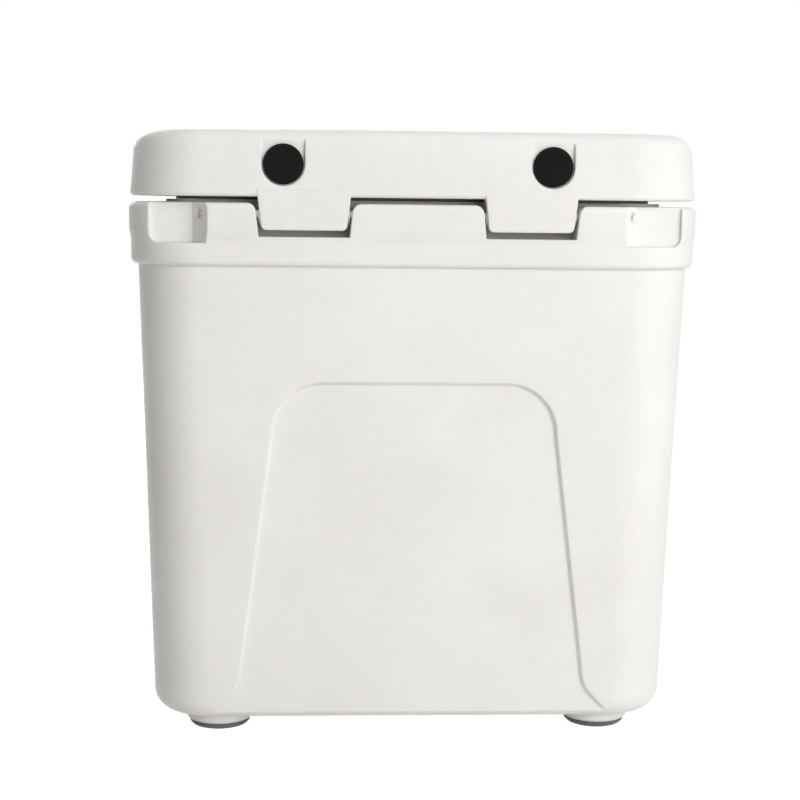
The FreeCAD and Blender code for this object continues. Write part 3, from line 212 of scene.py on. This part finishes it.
@dataclass(frozen=True)
class Finish:
    """A moulded surface: clouded colour, uneven gloss and a fine grain.

    Attributes:
        name: What a maker calls the finish.
        colour: Clean colour, sRGB hex.
        shade: The slightly deeper colour it clouds to, sRGB hex.
        patch: Metres across one cloud of colour.
        gloss: Lowest and highest roughness.
        grain: Metres across one bump of the surface.
        relief: Metres from the bottom to the top of a bump.
        ior: Index of refraction.
        metallic: 1 for a metal.
        stretch: How much the grain is drawn out along X, Y and Z.
        specular: Strength of the mirror-like part; 0.5 is the plain strength for the index of refraction.
        edge: Radius that the mould leaves on corners too small to model; 0 leaves them sharp.
        milk: Share of the light that enters the plastic and comes out again nearby.
        bleed: How far inside the plastic that light travels; blue light travels half as far as red.
    """

    name: str
    colour: str
    shade: str
    patch: float
    gloss: tuple[float, float]
    grain: float
    relief: float
    ior: float = 1.5
    metallic: float = 0.0
    stretch: tuple[float, float, float] = (1, 1, 1)
    specular: float = 0.5
    edge: float = 0.0
    milk: float = 0.0
    bleed: float = 4 * MM

    def place(self, tree: bpy.types.NodeTree) -> bpy.types.NodeSocket:
        """Object coordinates, drawn out by the finish's stretch."""
        here = add_node(tree, "ShaderNodeTexCoord")
        squeeze = tuple(1 / share for share in self.stretch)
        return add_node(tree, "ShaderNodeMapping", {"Scale": squeeze},
                        {"Vector": here.outputs["Object"]}).outputs[0]

    def height(self, tree: bpy.types.NodeTree, place: bpy.types.NodeSocket) -> bpy.types.NodeSocket:
        """Height of the grain, from 0 to 1: cloud noise one grain across.

        Args:
            tree: The material's node tree.
            place: Where the pattern is read.

        Returns:
            The height socket.
        """
        return add_node(tree, "ShaderNodeTexNoise", {"Scale": 1 / self.grain, "Detail": 3.0, "Roughness": 0.5},
                        {"Vector": place}).outputs["Fac"]

    def tint(self, tree: bpy.types.NodeTree, place: bpy.types.NodeSocket) -> bpy.types.NodeSocket:
        """Colour, from the shade to the clean colour as a slow cloud noise rises.

        Args:
            tree: The material's node tree.
            place: Where the pattern is read.

        Returns:
            The colour socket.
        """
        cloud = add_node(tree, "ShaderNodeTexNoise", {"Scale": 1 / self.patch, "Detail": 4.0},
                         {"Vector": place})
        low, high = CLOUD_STOPS
        return add_node(tree, "ShaderNodeValToRGB",
                        {"ramp": ((low, linear(self.shade)), (high, linear(self.colour)))},
                        {"Fac": cloud.outputs["Fac"]}).outputs["Color"]

    def build(self) -> bpy.types.Material:
        """Makes the Blender material.

        Returns:
            The material, with its colour, roughness and bump from nodes.
        """
        material = bpy.data.materials.new(self.name)
        material.use_nodes = True
        tree = material.node_tree
        shader = tree.nodes["Principled BSDF"]
        shader.inputs["Metallic"].default_value = self.metallic
        if not self.metallic:
            shader.inputs["IOR"].default_value = self.ior
            shader.inputs["Specular IOR Level"].default_value = self.specular
        if self.milk:
            shader.inputs["Subsurface Weight"].default_value = self.milk
            shader.inputs["Subsurface Radius"].default_value = BLEED_SHARES
            shader.inputs["Subsurface Scale"].default_value = self.bleed
        place = self.place(tree)
        tree.links.new(self.tint(tree, place), shader.inputs["Base Color"])
        smear = add_node(tree, "ShaderNodeTexNoise", {"Scale": SMEARS_A_CLOUD / self.patch, "Detail": 2.0},
                         {"Vector": place})
        rough = add_node(tree, "ShaderNodeMapRange",
                         {"From Min": SMEAR_STOPS[0], "From Max": SMEAR_STOPS[1],
                          "To Min": self.gloss[0], "To Max": self.gloss[1]},
                         {"Value": smear.outputs["Fac"]})
        tree.links.new(rough.outputs["Result"], shader.inputs["Roughness"])
        bump = add_node(tree, "ShaderNodeBump", {"Strength": 1.0, "Distance": self.relief},
                        {"Height": self.height(tree, place)})
        if self.edge:
            worn = add_node(tree, "ShaderNodeBevel", {"samples": EDGE_SAMPLES, "Radius": self.edge})
            tree.links.new(worn.outputs["Normal"], bump.inputs["Normal"])
        tree.links.new(bump.outputs["Normal"], shader.inputs["Normal"])
        return material


@dataclass(frozen=True)
class CellFoam(Finish):
    """Poured foam, whose skin shows its closed cells."""

    def height(self, tree: bpy.types.NodeTree, place: bpy.types.NodeSocket) -> bpy.types.NodeSocket:
        """Height from the distance to the nearest cell's middle, one grain across.

        Args:
            tree: The material's node tree.
            place: Where the pattern is read.

        Returns:
            The height socket.
        """
        return add_node(tree, "ShaderNodeTexVoronoi", {"Scale": 1 / self.grain},
                        {"Vector": place}).outputs["Distance"]


@dataclass(frozen=True)
class SparkErodedPlastic(Finish):
    """Injection moulded plastic with a spark-eroded texture: rounded pits that scatter the highlight."""

    def height(self, tree: bpy.types.NodeTree, place: bpy.types.NodeSocket) -> bpy.types.NodeSocket:
        """Height from smooth cells one grain across, roughened by a finer noise.

        Args:
            tree: The material's node tree.
            place: Where the pattern is read.

        Returns:
            The height socket.
        """
        pits = add_node(tree, "ShaderNodeTexVoronoi", {"feature": "SMOOTH_F1", "Scale": 1 / self.grain},
                        {"Vector": place})
        fine = add_node(tree, "ShaderNodeTexNoise", {"Scale": 2.4 / self.grain, "Detail": 2.0},
                        {"Vector": place})
        return add_node(tree, "ShaderNodeMath", {"operation": "MULTIPLY_ADD", 2: 0.0},
                        {0: pits.outputs["Distance"], 1: fine.outputs["Fac"]}).outputs[0]


# Linear low-density polyethylene, rotomoulded. The inside of a blasted mould leaves a soft satin white with a
# slow orange peel, so highlights spread, and light that enters the wall comes out again beside.
SHELL_WHITE = Finish("rotomoulded_polyethylene", "#F3F3F1", "#EFEEEB", patch=90 * MM, gloss=(0.30, 0.38),
                     grain=5 * MM, relief=0.012 * MM, ior=1.51, specular=0.28, edge=2.2 * MM, milk=0.5)
# Closed-cell polyurethane, poured between the skins: straw yellow and dull, pitted where cells opened.
POURED_FOAM = CellFoam("polyurethane_foam", "#E8D8A6", "#D9C68E", patch=30 * MM, gloss=(0.80, 0.90),
                       grain=1.2 * MM, relief=0.3 * MM, ior=1.45)
# Black polypropylene from a spark-eroded mould: near black, with a dry and broad highlight.
MOULDED_BLACK = SparkErodedPlastic("moulded_polypropylene", "#0F0F0E", "#0B0B0A", patch=25 * MM,
                                   gloss=(0.36, 0.46), grain=0.9 * MM, relief=0.02 * MM, ior=1.49,
                                   specular=0.12)
# Turned acetal bearings: off-white and waxy, smooth to the touch.
ACETAL = Finish("turned_acetal", "#DAD8D0", "#CFCCC2", patch=12 * MM, gloss=(0.28, 0.36),
                grain=0.8 * MM, relief=0.006 * MM, ior=1.48)
# Thermoplastic rubber tyres: charcoal, matt and slightly dusty.
TYRE_RUBBER = Finish("thermoplastic_rubber", "#232322", "#2D2C29", patch=18 * MM, gloss=(0.62, 0.78),
                     grain=0.7 * MM, relief=0.03 * MM, ior=1.52, specular=0.3)
# Black EPDM, compression moulded: deep black with a silky sheen where fingers rub it.
STRAP_RUBBER = Finish("moulded_epdm", "#1B1B1A", "#151514", patch=15 * MM, gloss=(0.44, 0.56),
                      grain=0.5 * MM, relief=0.012 * MM, ior=1.52, specular=0.25)
# Grey non-marking rubber of the feet: mid grey and matt.
FOOT_RUBBER = Finish("non_marking_rubber", "#6C6B67", "#5F5E5A", patch=10 * MM, gloss=(0.65, 0.78),
                     grain=0.5 * MM, relief=0.015 * MM, ior=1.52)
# Freezer gasket of soft grey-brown vinyl, dull and smooth.
GASKET_VINYL = Finish("gasket_vinyl", "#8A8073", "#7C7266", patch=20 * MM, gloss=(0.50, 0.62),
                      grain=0.8 * MM, relief=0.008 * MM, ior=1.53)
# Drawn aluminium tube, satin anodised: cool silver with faint draw lines that stretch the highlight.
ANODISED_TUBE = Finish("anodised_aluminium", "#B9BCC0", "#A9ACB0", patch=20 * MM, gloss=(0.26, 0.38),
                       grain=0.5 * MM, relief=0.006 * MM, metallic=1.0, stretch=(1, 1, 60))
# Turned stainless steel of pins and screws: bright, with fine rings from the lathe.
TURNED_STEEL = Finish("turned_stainless_steel", "#C4C3BF", "#B4B2AD", patch=8 * MM, gloss=(0.20, 0.32),
                      grain=0.35 * MM, relief=0.004 * MM, metallic=1.0, stretch=(8, 1, 1))


@cache
def material_of(finish: Finish) -> bpy.types.Material:
    """The finish's material, built once."""
    return finish.build()


def paint(piece: bpy.types.Object, finish: Finish) -> None:
    """Gives a piece one finish in place of any it had."""
    piece.data.materials.clear()
    piece.data.materials.append(material_of(finish))


# ---------------------------------------------------------------- sub-assemblies

@dataclass
class SubAssembly:
    """A group of CAD nodes and new pieces that are made and finished together."""

    def dress(self, finish: Finish, *nodes: str) -> None:
        """Gives CAD nodes their finish.

        Args:
            finish: What the nodes are made of.
            *nodes: Names of the CAD nodes.
        """
        for node in nodes:
            paint(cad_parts[node], finish)
            LOG.info("%s: %s", node, finish.name)

    def fit(self, piece: bpy.types.Object, finish: Finish, slot: str, body: str, node: str) -> None:
        """Finishes a new piece and puts it in a CAD node's stead.

        Args:
            piece: The new piece.
            finish: What it is made of.
            slot: The record's material slot for it; not used.
            body: The CAD body it moves with.
            node: The CAD node it stands for.
        """
        paint(piece, finish)
        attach(piece, body)
        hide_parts(node)
        LOG.info("%s: %s, riding on %s", piece.name, finish.name, body)


@dataclass
class Box(SubAssembly):
    """The insulated body with its feet, drain and fill plugs."""

    def build(self) -> None:
        """Dresses the body's nodes."""
        self.dress(SHELL_WHITE, "body_shell")
        self.dress(POURED_FOAM, "body_foam")
        self.dress(MOULDED_BLACK, "body_fill_plugs", "drain_plug")
        self.dress(STRAP_RUBBER, "drain_seal")
        self.dress(FOOT_RUBBER, *[side.node("foot") for side in Side])
        self.dress(TURNED_STEEL, "foot_screws")


@dataclass
class Lid(SubAssembly):
    """The insulated lid with its gasket and the two push-in plugs of its fill holes.

    Attributes:
        plug_crown: How far the plug's face bulges.
        plug_edge: Radius of its rounded edge.
        head: Thickness of the plug's head.
        shank: Radius of the part inside the hole.
        seat_round: Radius of the corners at the head's seat.
        tip: Radius of the last ring, before the end closes.
        middle_share: Share of the face's radius at its first ring.
        rings: Rings along the crown.
        around: Points round each ring.
    """

    plug_crown: float = 0.8 * MM
    plug_edge: float = 1.3 * MM
    head: float = 4 * MM
    shank: float = 13 * MM
    seat_round: float = 0.2 * MM
    tip: float = 0.3 * MM
    middle_share: float = 0.02
    rings: int = 14
    around: int = 96

    def plug(self, side: Side) -> bpy.types.Object:
        """One plug: a profile turned about its own axis along Y.

        The profile rises as a shallow cap, whose depth falls with the square of the radius, turns over a
        quarter circle at the edge, runs back to the head's seat and steps in to a shank with a round end.

        Args:
            side: Which of the two plugs.

        Returns:
            The new piece.
        """
        low, high = (np.array(corner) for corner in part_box(side.node("lid_plug")))
        middle = (low + high) / 2
        radius = (high[0] - low[0]) / 2
        flat = np.linspace(self.middle_share, 1, self.rings) * (radius - self.plug_edge)
        crown = self.plug_crown * (flat / flat[-1]) ** 2
        turn = np.linspace(0, math.pi / 2, self.rings)
        edge_radius = radius - self.plug_edge + self.plug_edge * np.sin(turn)
        edge_depth = self.plug_crown + self.plug_edge * (1 - np.cos(turn))
        seat = self.head + self.seat_round * np.array([-1, 0, 0, 1])
        seat_radius = np.array([radius, radius - self.seat_round, self.shank + self.seat_round, self.shank])
        end = high[1] - low[1]
        tail = end - self.plug_edge + self.plug_edge * np.sin(turn)
        tail_radius = self.shank - self.plug_edge + self.plug_edge * np.cos(turn)
        reach = np.concatenate([flat, edge_radius, seat_radius, tail_radius, [self.tip]])
        depth = np.concatenate([crown, edge_depth, seat, tail, [end]])
        angle = np.linspace(0, 2 * math.pi, self.around, endpoint=False)
        rings = np.stack([middle[0] + np.outer(reach, np.cos(angle)),
                          np.repeat(low[1] + depth, self.around).reshape(-1, self.around),
                          middle[2] + np.outer(reach, np.sin(angle))], axis=-1)
        return skin(side.node("lid_plug_cap"), rings)

    def build(self) -> None:
        """Dresses the lid's nodes and adds the plugs."""
        self.dress(SHELL_WHITE, "lid_shell")
        self.dress(POURED_FOAM, "lid_foam")
        self.dress(GASKET_VINYL, "lid_gasket")
        for side in Side:
            self.fit(self.plug(side), MOULDED_BLACK, "black_plastic", "lid", side.node("lid_plug"))


@dataclass
class Hinge(SubAssembly):
    """The two hinge pins and the bushings that turn on them."""

    def build(self) -> None:
        """Dresses the hinge's nodes."""
        self.dress(TURNED_STEEL, *[side.node("hinge_pin") for side in Side])
        self.dress(ACETAL, *[side.node("hinge_bushings") for side in Side])


@dataclass
class Latches(SubAssembly):
    """The two rubber T-latches on their pins.

    Heights run down the strap from its pin.

    Attributes:
        half_width: Half the width of the hub and of the cross bar.
        half_neck: Half the width of the neck.
        half_thickness: Half the strap's thickness.
        hub: Radius round the pin.
        bar: Radius of the cross bar.
        bar_drop: From the pin down to the cross bar.
        tab_drop: From the pin down to the end of the thumb tab.
        tab_kick: How far the strap's line would stand off the cooler, kick_past below its end.
        kick_past: From the tab's end to where its curve would end.
        tip: Height over which the tab's end rounds off.
        sliver: Least share of the thickness left at the end.
        thinnest: Least half thickness anywhere.
        blend: Height over which the width changes at the bar, and how much narrower the tab is.
        squareness: Power of the section's superellipse.
        shoulder: Where the hub narrows to the neck, and over what height.
        rib_pitch: From one rib of the thumb tab to the next.
        rib_height: How far a rib stands up.
        lean: The strap's angle off the upright, in degrees.
        rows: Rings down the strap.
        around: Points round each ring.
    """

    half_width: float = 19 * MM
    half_neck: float = 8 * MM
    half_thickness: float = 2.5 * MM
    hub: float = 7 * MM
    bar: float = 5 * MM
    bar_drop: float = 59 * MM
    tab_drop: float = 79 * MM
    tab_kick: float = 7.28 * MM
    kick_past: float = 8 * MM
    tip: float = 3 * MM
    sliver: float = 0.01
    thinnest: float = 0.3 * MM
    blend: float = 2 * MM
    squareness: float = 5
    shoulder: tuple[float, float] = (17 * MM, 8 * MM)
    rib_pitch: float = 3 * MM
    rib_height: float = 0.45 * MM
    lean: float = 14.4
    rows: int = 150
    around: int = 72

    def strap(self, side: Side) -> bpy.types.Object:
        """One strap: squared rings carried down a line that leans out and kicks out at the thumb tab.

        At each height the half thickness is the largest of the plain strap's, the circle of the hub and the
        circle of the cross bar. The width steps in to the neck and out again to the bar. Low cosine ribs
        cross the tab.

        Args:
            side: Which of the two straps.

        Returns:
            The new piece.
        """
        pin_low, pin_high = (np.array(corner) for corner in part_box(side.node("latch_pin")))
        middle = (pin_low + pin_high) / 2
        spread = np.linspace(0, 1, self.rows)
        drop = -self.hub + (self.hub + self.tab_drop) * spread
        hub = np.sqrt(np.clip(self.hub ** 2 - drop ** 2, 0, None))
        bar = np.sqrt(np.clip(self.bar ** 2 - (drop - self.bar_drop) ** 2, 0, None))
        tip = np.sqrt(np.clip((self.tab_drop - drop) / self.tip, self.sliver, 1))
        plain = self.half_thickness * np.where(drop < 0, 0, 1) * tip
        bar_top, bar_bottom = self.bar_drop - self.bar, self.bar_drop + self.bar
        on_tab = ease(drop, bar_bottom, bar_bottom + self.blend)
        ribs = self.rib_height * on_tab * tip * (0.5 + 0.5 * np.cos(2 * math.pi * drop / self.rib_pitch))
        thick = np.maximum(np.maximum(hub, bar), np.maximum(plain, self.thinnest)) + ribs
        start, run = self.shoulder
        waist = ease(drop, start, start + run) - ease(drop, bar_top - self.blend, bar_top)
        wide = (self.half_width - (self.half_width - self.half_neck) * waist
                - self.blend * on_tab - self.blend * (1 - tip))
        out = self.tab_kick * ease(drop, self.bar_drop, self.tab_drop + self.kick_past)
        turn = np.linspace(0, 2 * math.pi, self.around, endpoint=False)
        across, through = squared_circle(turn, self.squareness)
        lean = math.radians(self.lean)
        along_y, along_z = out[:, None] + np.outer(thick, through), -drop[:, None] + 0 * through
        rings = np.stack([middle[0] + np.outer(wide, across),
                          middle[1] + along_y * math.cos(lean) - along_z * math.sin(lean),
                          middle[2] + along_y * math.sin(lean) + along_z * math.cos(lean)], axis=-1)
        return skin(side.node("strap_rubber"), rings)

    def build(self) -> None:
        """Adds the straps and dresses their pins."""
        for side in Side:
            self.fit(self.strap(side), STRAP_RUBBER, "rubber", side.node("latch"), side.node("latch_strap"))
            self.dress(TURNED_STEEL, side.node("latch_pin"))


@dataclass
class Wheels(SubAssembly):
    """The two wheels, their tyres and the axle between them.

    Attributes:
        depth: Thickness of the tyre, from the rim to the tread.
        groove: Offset of each groove round the tread from the middle, its half width and its depth.
        lugs: Slots round each shoulder.
        slot: Share of a lug's pitch that is slot, and the slot's depth.
        shoulder: Offset from the middle at which the slots begin.
        shoulder_run: Width over which they reach their depth.
        squareness: Power of the section's superellipse.
        tread: Heights, as shares of half the tyre's depth, between which the grooves reach their depth.
        groove_sides: Start and end of a groove's side, as shares of its half width.
        slot_sides: Start and end of a slot's side, as shares of the slot.
        around: Steps round the wheel.
        section: Points round the tyre's section.
    """

    depth: float = 12.9 * MM
    groove: tuple[float, float, float] = (6.5 * MM, 1.5 * MM, 1.6 * MM)
    lugs: int = 36
    slot: tuple[float, float] = (0.3, 1.8 * MM)
    shoulder: float = 10.5 * MM
    shoulder_run: float = 1 * MM
    squareness: float = 4.2
    tread: tuple[float, float] = (0.2, 0.8)
    groove_sides: tuple[float, float] = (0.6, 1.2)
    slot_sides: tuple[float, float] = (0.7, 1.3)
    around: int = 432
    section: int = 112

    def tyre(self, side: Side) -> bpy.types.Object:
        """One tyre: a squared section carried round the axle, cut by the tread.

        The section is a superellipse as wide as the tyre. Outwards of its middle the radius is cut by two
        grooves round the tread, each a smooth trough across the width, and by slots across both shoulders,
        each a smooth trough round the wheel.

        Args:
            side: Which of the two tyres.

        Returns:
            The new piece.
        """
        low, high = (np.array(corner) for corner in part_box(side.node("tyre")))
        middle, radius, half = (low + high) / 2, (high[2] - low[2]) / 2, (high[0] - low[0]) / 2
        wide, tall = squared_circle(np.linspace(0, 2 * math.pi, self.section, endpoint=False), self.squareness)
        offset, reach = half * wide, radius - self.depth / 2 + self.depth / 2 * tall
        turn = np.linspace(0, 2 * math.pi, self.around, endpoint=False)
        outer = ease(tall, *self.tread)
        at, half_groove, groove_depth = self.groove
        trough = 1 - ease(np.abs(np.abs(offset) - at) / half_groove, *self.groove_sides)
        share, slot_depth = self.slot
        phase = np.abs((turn * self.lugs / (2 * math.pi)) % 1 - 0.5) * 2
        cross = 1 - ease(phase / share, *self.slot_sides)
        edge = ease(np.abs(offset), self.shoulder - self.shoulder_run, self.shoulder)
        cut = np.maximum(groove_depth * (outer * trough)[None, :], slot_depth * np.outer(cross, outer * edge))
        far = reach[None, :] - cut
        rings = np.stack([middle[0] + offset[None, :] + 0 * far,
                          middle[1] + far * np.cos(turn)[:, None],
                          middle[2] + far * np.sin(turn)[:, None]], axis=-1)
        return skin(side.node("tread_tyre"), rings, joined=True)

    def build(self) -> None:
        """Adds the tyres and dresses the wheels and the axle."""
        for side in Side:
            self.fit(self.tyre(side), TYRE_RUBBER, "tyre", side.node("wheel"), side.node("tyre"))
            self.dress(MOULDED_BLACK, side.node("wheel_rim"), side.node("axle_cap"))
            self.dress(ACETAL, side.node("wheel_bushings"))
        self.dress(TURNED_STEEL, "axle", "axle_washers")
        self.dress(ANODISED_TUBE, "axle_sleeve")


@dataclass
class Handle(SubAssembly):
    """The telescopic handle in its channel, with the spring under its release button.

    Attributes:
        spring_turns: Turns of the spring.
        spring_wire: Radius of its wire.
        spring_top: Radius of its top turn; each turn nests in the one below.
        spring_flat: Share of the spring's height that is left when the button is pressed home; not used.
        turn_rings: Rings along one turn of the wire.
        around: Points round the wire.
    """

    spring_turns: int = 3
    spring_wire: float = 0.5 * MM
    spring_top: float = 2.1 * MM
    spring_flat: float = 0.2
    turn_rings: int = 60
    around: int = 10

    def spring(self) -> bpy.types.Object:
        """The button's spring: a round wire on a cone, its radius shrinking evenly as it climbs and turns.

        Returns:
            The new piece.
        """
        low, high = (np.array(corner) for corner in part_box("release_spring"))
        middle, wire = (low + high) / 2, self.spring_wire
        share = np.linspace(0, 1, self.turn_rings * self.spring_turns)[:, None]
        turn = 2 * math.pi * self.spring_turns * share
        section = np.linspace(0, 2 * math.pi, self.around, endpoint=False)[None, :]
        wide = (high[0] - low[0]) / 2 - wire
        reach = wide + (self.spring_top - wide) * share + wire * np.cos(section)
        climb = low[2] + wire + (high[2] - low[2] - 2 * wire) * share + wire * np.sin(section)
        rings = np.stack([middle[0] + reach * np.cos(turn), middle[1] + reach * np.sin(turn), climb], axis=-1)
        piece = skin("button_spring", rings)
        self.fit(piece, TURNED_STEEL, "steel", "handle_top", "release_spring")
        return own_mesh(piece)

    def build(self) -> None:
        """Adds the spring and dresses the handle's nodes."""
        self.spring()
        self.dress(ANODISED_TUBE, "handle_outer_tubes", "handle_middle_tubes", "handle_inner_tubes")
        self.dress(MOULDED_BLACK, "handle_bezel", "handle_foot_bracket", "handle_collars", "grip",
                   "release_button")
        self.dress(TURNED_STEEL, "handle_screws", "push_rods")


# ---------------------------------------------------------------- studio

@dataclass
class Softbox:
    """A square lamp with a diffuser, aimed at a point.

    Attributes:
        name: What the lamp does.
        place: Where it stands.
        width: Its side.
        power: Its output in watts.
        aim: The point it faces.
        mirrored: Whether glossy surfaces show it.
    """

    name: str
    place: tuple[float, float, float]
    width: float
    power: float
    aim: tuple[float, float, float] = (0, 0, 0.25)
    mirrored: bool = True

    def build(self) -> None:
        """Adds the lamp."""
        lamp = bpy.data.lights.new(self.name, "AREA")
        lamp.shape, lamp.size, lamp.energy = "SQUARE", self.width, self.power
        stand = bpy.data.objects.new(self.name, lamp)
        stand.location = self.place
        stand.rotation_euler = (Vector(self.aim) - Vector(self.place)).to_track_quat("-Z", "Y").to_euler()
        stand.visible_glossy = self.mirrored
        bpy.context.scene.collection.objects.link(stand)


@dataclass
class Studio:
    """A pale floor under an even white surround, with soft lamps.

    Attributes:
        floor: Half the floor's side.
        floor_colour: The floor's own colour, which bounces light up on the cooler.
        shadow: Share of the seen floor that is lit, so that its shadow shows; the rest glows.
        far_light: How brightly the floor is lit far from the lamps, where it has to read as white.
        surround: Strength of the light that the surround throws on surfaces.
        surround_colour: Its colour, sRGB hex.
        lamps: The soft boxes.
    """

    floor: float = 6.0
    floor_colour: str = "#E6E5E2"
    shadow: float = 0.5
    far_light: float = 0.2
    surround: float = 0.22
    surround_colour: str = "#FFFCF8"
    lamps: tuple[Softbox, ...] = (
        Softbox("key", (1.2, -2.12, 1.08), 1.9, 44.5, mirrored=False),
        Softbox("top", (0.1, -0.2, 2.3), 1.8, 9),
        Softbox("rear", (-0.9, 2.3, 1.4), 1.5, 18),
    )

    def seen(self, tree: bpy.types.NodeTree) -> bpy.types.NodeSocket:
        """1 for what the camera sees, straight, in a gloss or through something clear; else 0.

        Args:
            tree: The node tree that asks.

        Returns:
            The factor socket.
        """
        path = add_node(tree, "ShaderNodeLightPath")
        straight = add_node(tree, "ShaderNodeMath", {"operation": "MAXIMUM"},
                            {0: path.outputs["Is Camera Ray"], 1: path.outputs["Is Glossy Ray"]})
        return add_node(tree, "ShaderNodeMath", {"operation": "MAXIMUM"},
                        {0: straight.outputs[0], 1: path.outputs["Is Transmission Ray"]}).outputs[0]

    def lay_floor(self) -> None:
        """Adds the floor: pale to the light, and white with a faint shadow to the eye."""
        half = self.floor
        mesh = bpy.data.meshes.new("floor")
        corners = [(-half, -half, 0), (half, -half, 0), (half, half, 0), (-half, half, 0)]
        mesh.from_pydata(corners, [], [(0, 1, 2, 3)])
        floor = bpy.data.objects.new("floor", mesh)
        bpy.context.scene.collection.objects.link(floor)
        material = bpy.data.materials.new("painted_floor")
        material.use_nodes = True
        tree = material.node_tree
        tree.nodes.remove(tree.nodes["Principled BSDF"])
        plain = add_node(tree, "ShaderNodeBsdfDiffuse", {"Color": linear(self.floor_colour)})
        lit = add_node(tree, "ShaderNodeBsdfDiffuse", {"Color": (self.shadow,) * 3 + (1,)})
        glow = add_node(tree, "ShaderNodeEmission", {"Strength": 1 - self.shadow * self.far_light})
        white = add_node(tree, "ShaderNodeAddShader", {}, {0: lit.outputs[0], 1: glow.outputs[0]})
        mixed = add_node(tree, "ShaderNodeMixShader", {},
                         {0: self.seen(tree), 1: plain.outputs[0], 2: white.outputs[0]})
        tree.links.new(mixed.outputs[0], tree.nodes["Material Output"].inputs["Surface"])
        mesh.materials.append(material)

    def paint_world(self) -> None:
        """Sets the surround: white to the eye, and dimmer as a light."""
        world = bpy.data.worlds.new("surround")
        bpy.context.scene.world = world
        world.use_nodes = True
        tree = world.node_tree
        soft = tree.nodes["Background"]
        soft.inputs["Color"].default_value = linear(self.surround_colour)
        soft.inputs["Strength"].default_value = self.surround
        white = add_node(tree, "ShaderNodeBackground", {"Color": (1, 1, 1, 1), "Strength": 1.0})
        mixed = add_node(tree, "ShaderNodeMixShader", {},
                         {0: self.seen(tree), 1: soft.outputs[0], 2: white.outputs[0]})
        tree.links.new(mixed.outputs[0], tree.nodes["World Output"].inputs["Surface"])

    def build(self) -> None:
        """Lays the floor, sets the surround and lights the lamps."""
        self.lay_floor()
        self.paint_world()
        for lamp in self.lamps:
            lamp.build()
            LOG.info("lamp %s", lamp.name)


@dataclass
class Viewpoint:
    """The camera, a little above the lid and left of the middle, facing the hinge side.

    Attributes:
        before: Distance in front of the hinge side.
        beside: Place along X.
        height: Height over the floor.
        turn: Angle towards +X, in degrees.
        dip: Angle below the level, in degrees.
        lean: Turn about the line of sight, in degrees.
        lens: Focal length in millimetres on a 36 mm sensor.
    """

    before: float = 1.3107
    beside: float = -0.0831
    height: float = 0.457
    turn: float = 3.04
    dip: float = 7.08
    lean: float = 0.66
    lens: float = 72.0

    def build(self) -> None:
        """Adds the camera and makes it the scene's."""
        camera = bpy.data.cameras.new("studio_camera")
        camera.lens, camera.sensor_width = self.lens, 36.0
        stand = bpy.data.objects.new("studio_camera", camera)
        turn, dip = math.radians(self.turn), math.radians(self.dip)
        sight = Vector((math.sin(turn) * math.cos(dip), math.cos(turn) * math.cos(dip), -math.sin(dip)))
        stand.location = (self.beside, cad_box[0].y - self.before, self.height)
        stand.rotation_mode = "QUATERNION"
        stand.rotation_quaternion = (sight.to_track_quat("-Z", "Y")
                                     @ Quaternion((0, 0, 1), math.radians(self.lean)))
        bpy.context.scene.collection.objects.link(stand)
        bpy.context.scene.camera = stand


def main() -> None:
    """Builds the sub-assemblies, the studio and the camera in order."""
    logging.basicConfig(level=logging.INFO, format="%(message)s")
    bpy.context.scene.view_settings.view_transform = "Standard"
    for part in (Box(), Lid(), Hinge(), Latches(), Wheels(), Handle()):
        part.build()
        LOG.info("%s done", type(part).__name__)
    Studio().build()
    Viewpoint().build()


if __name__ == "__main__":
    main()
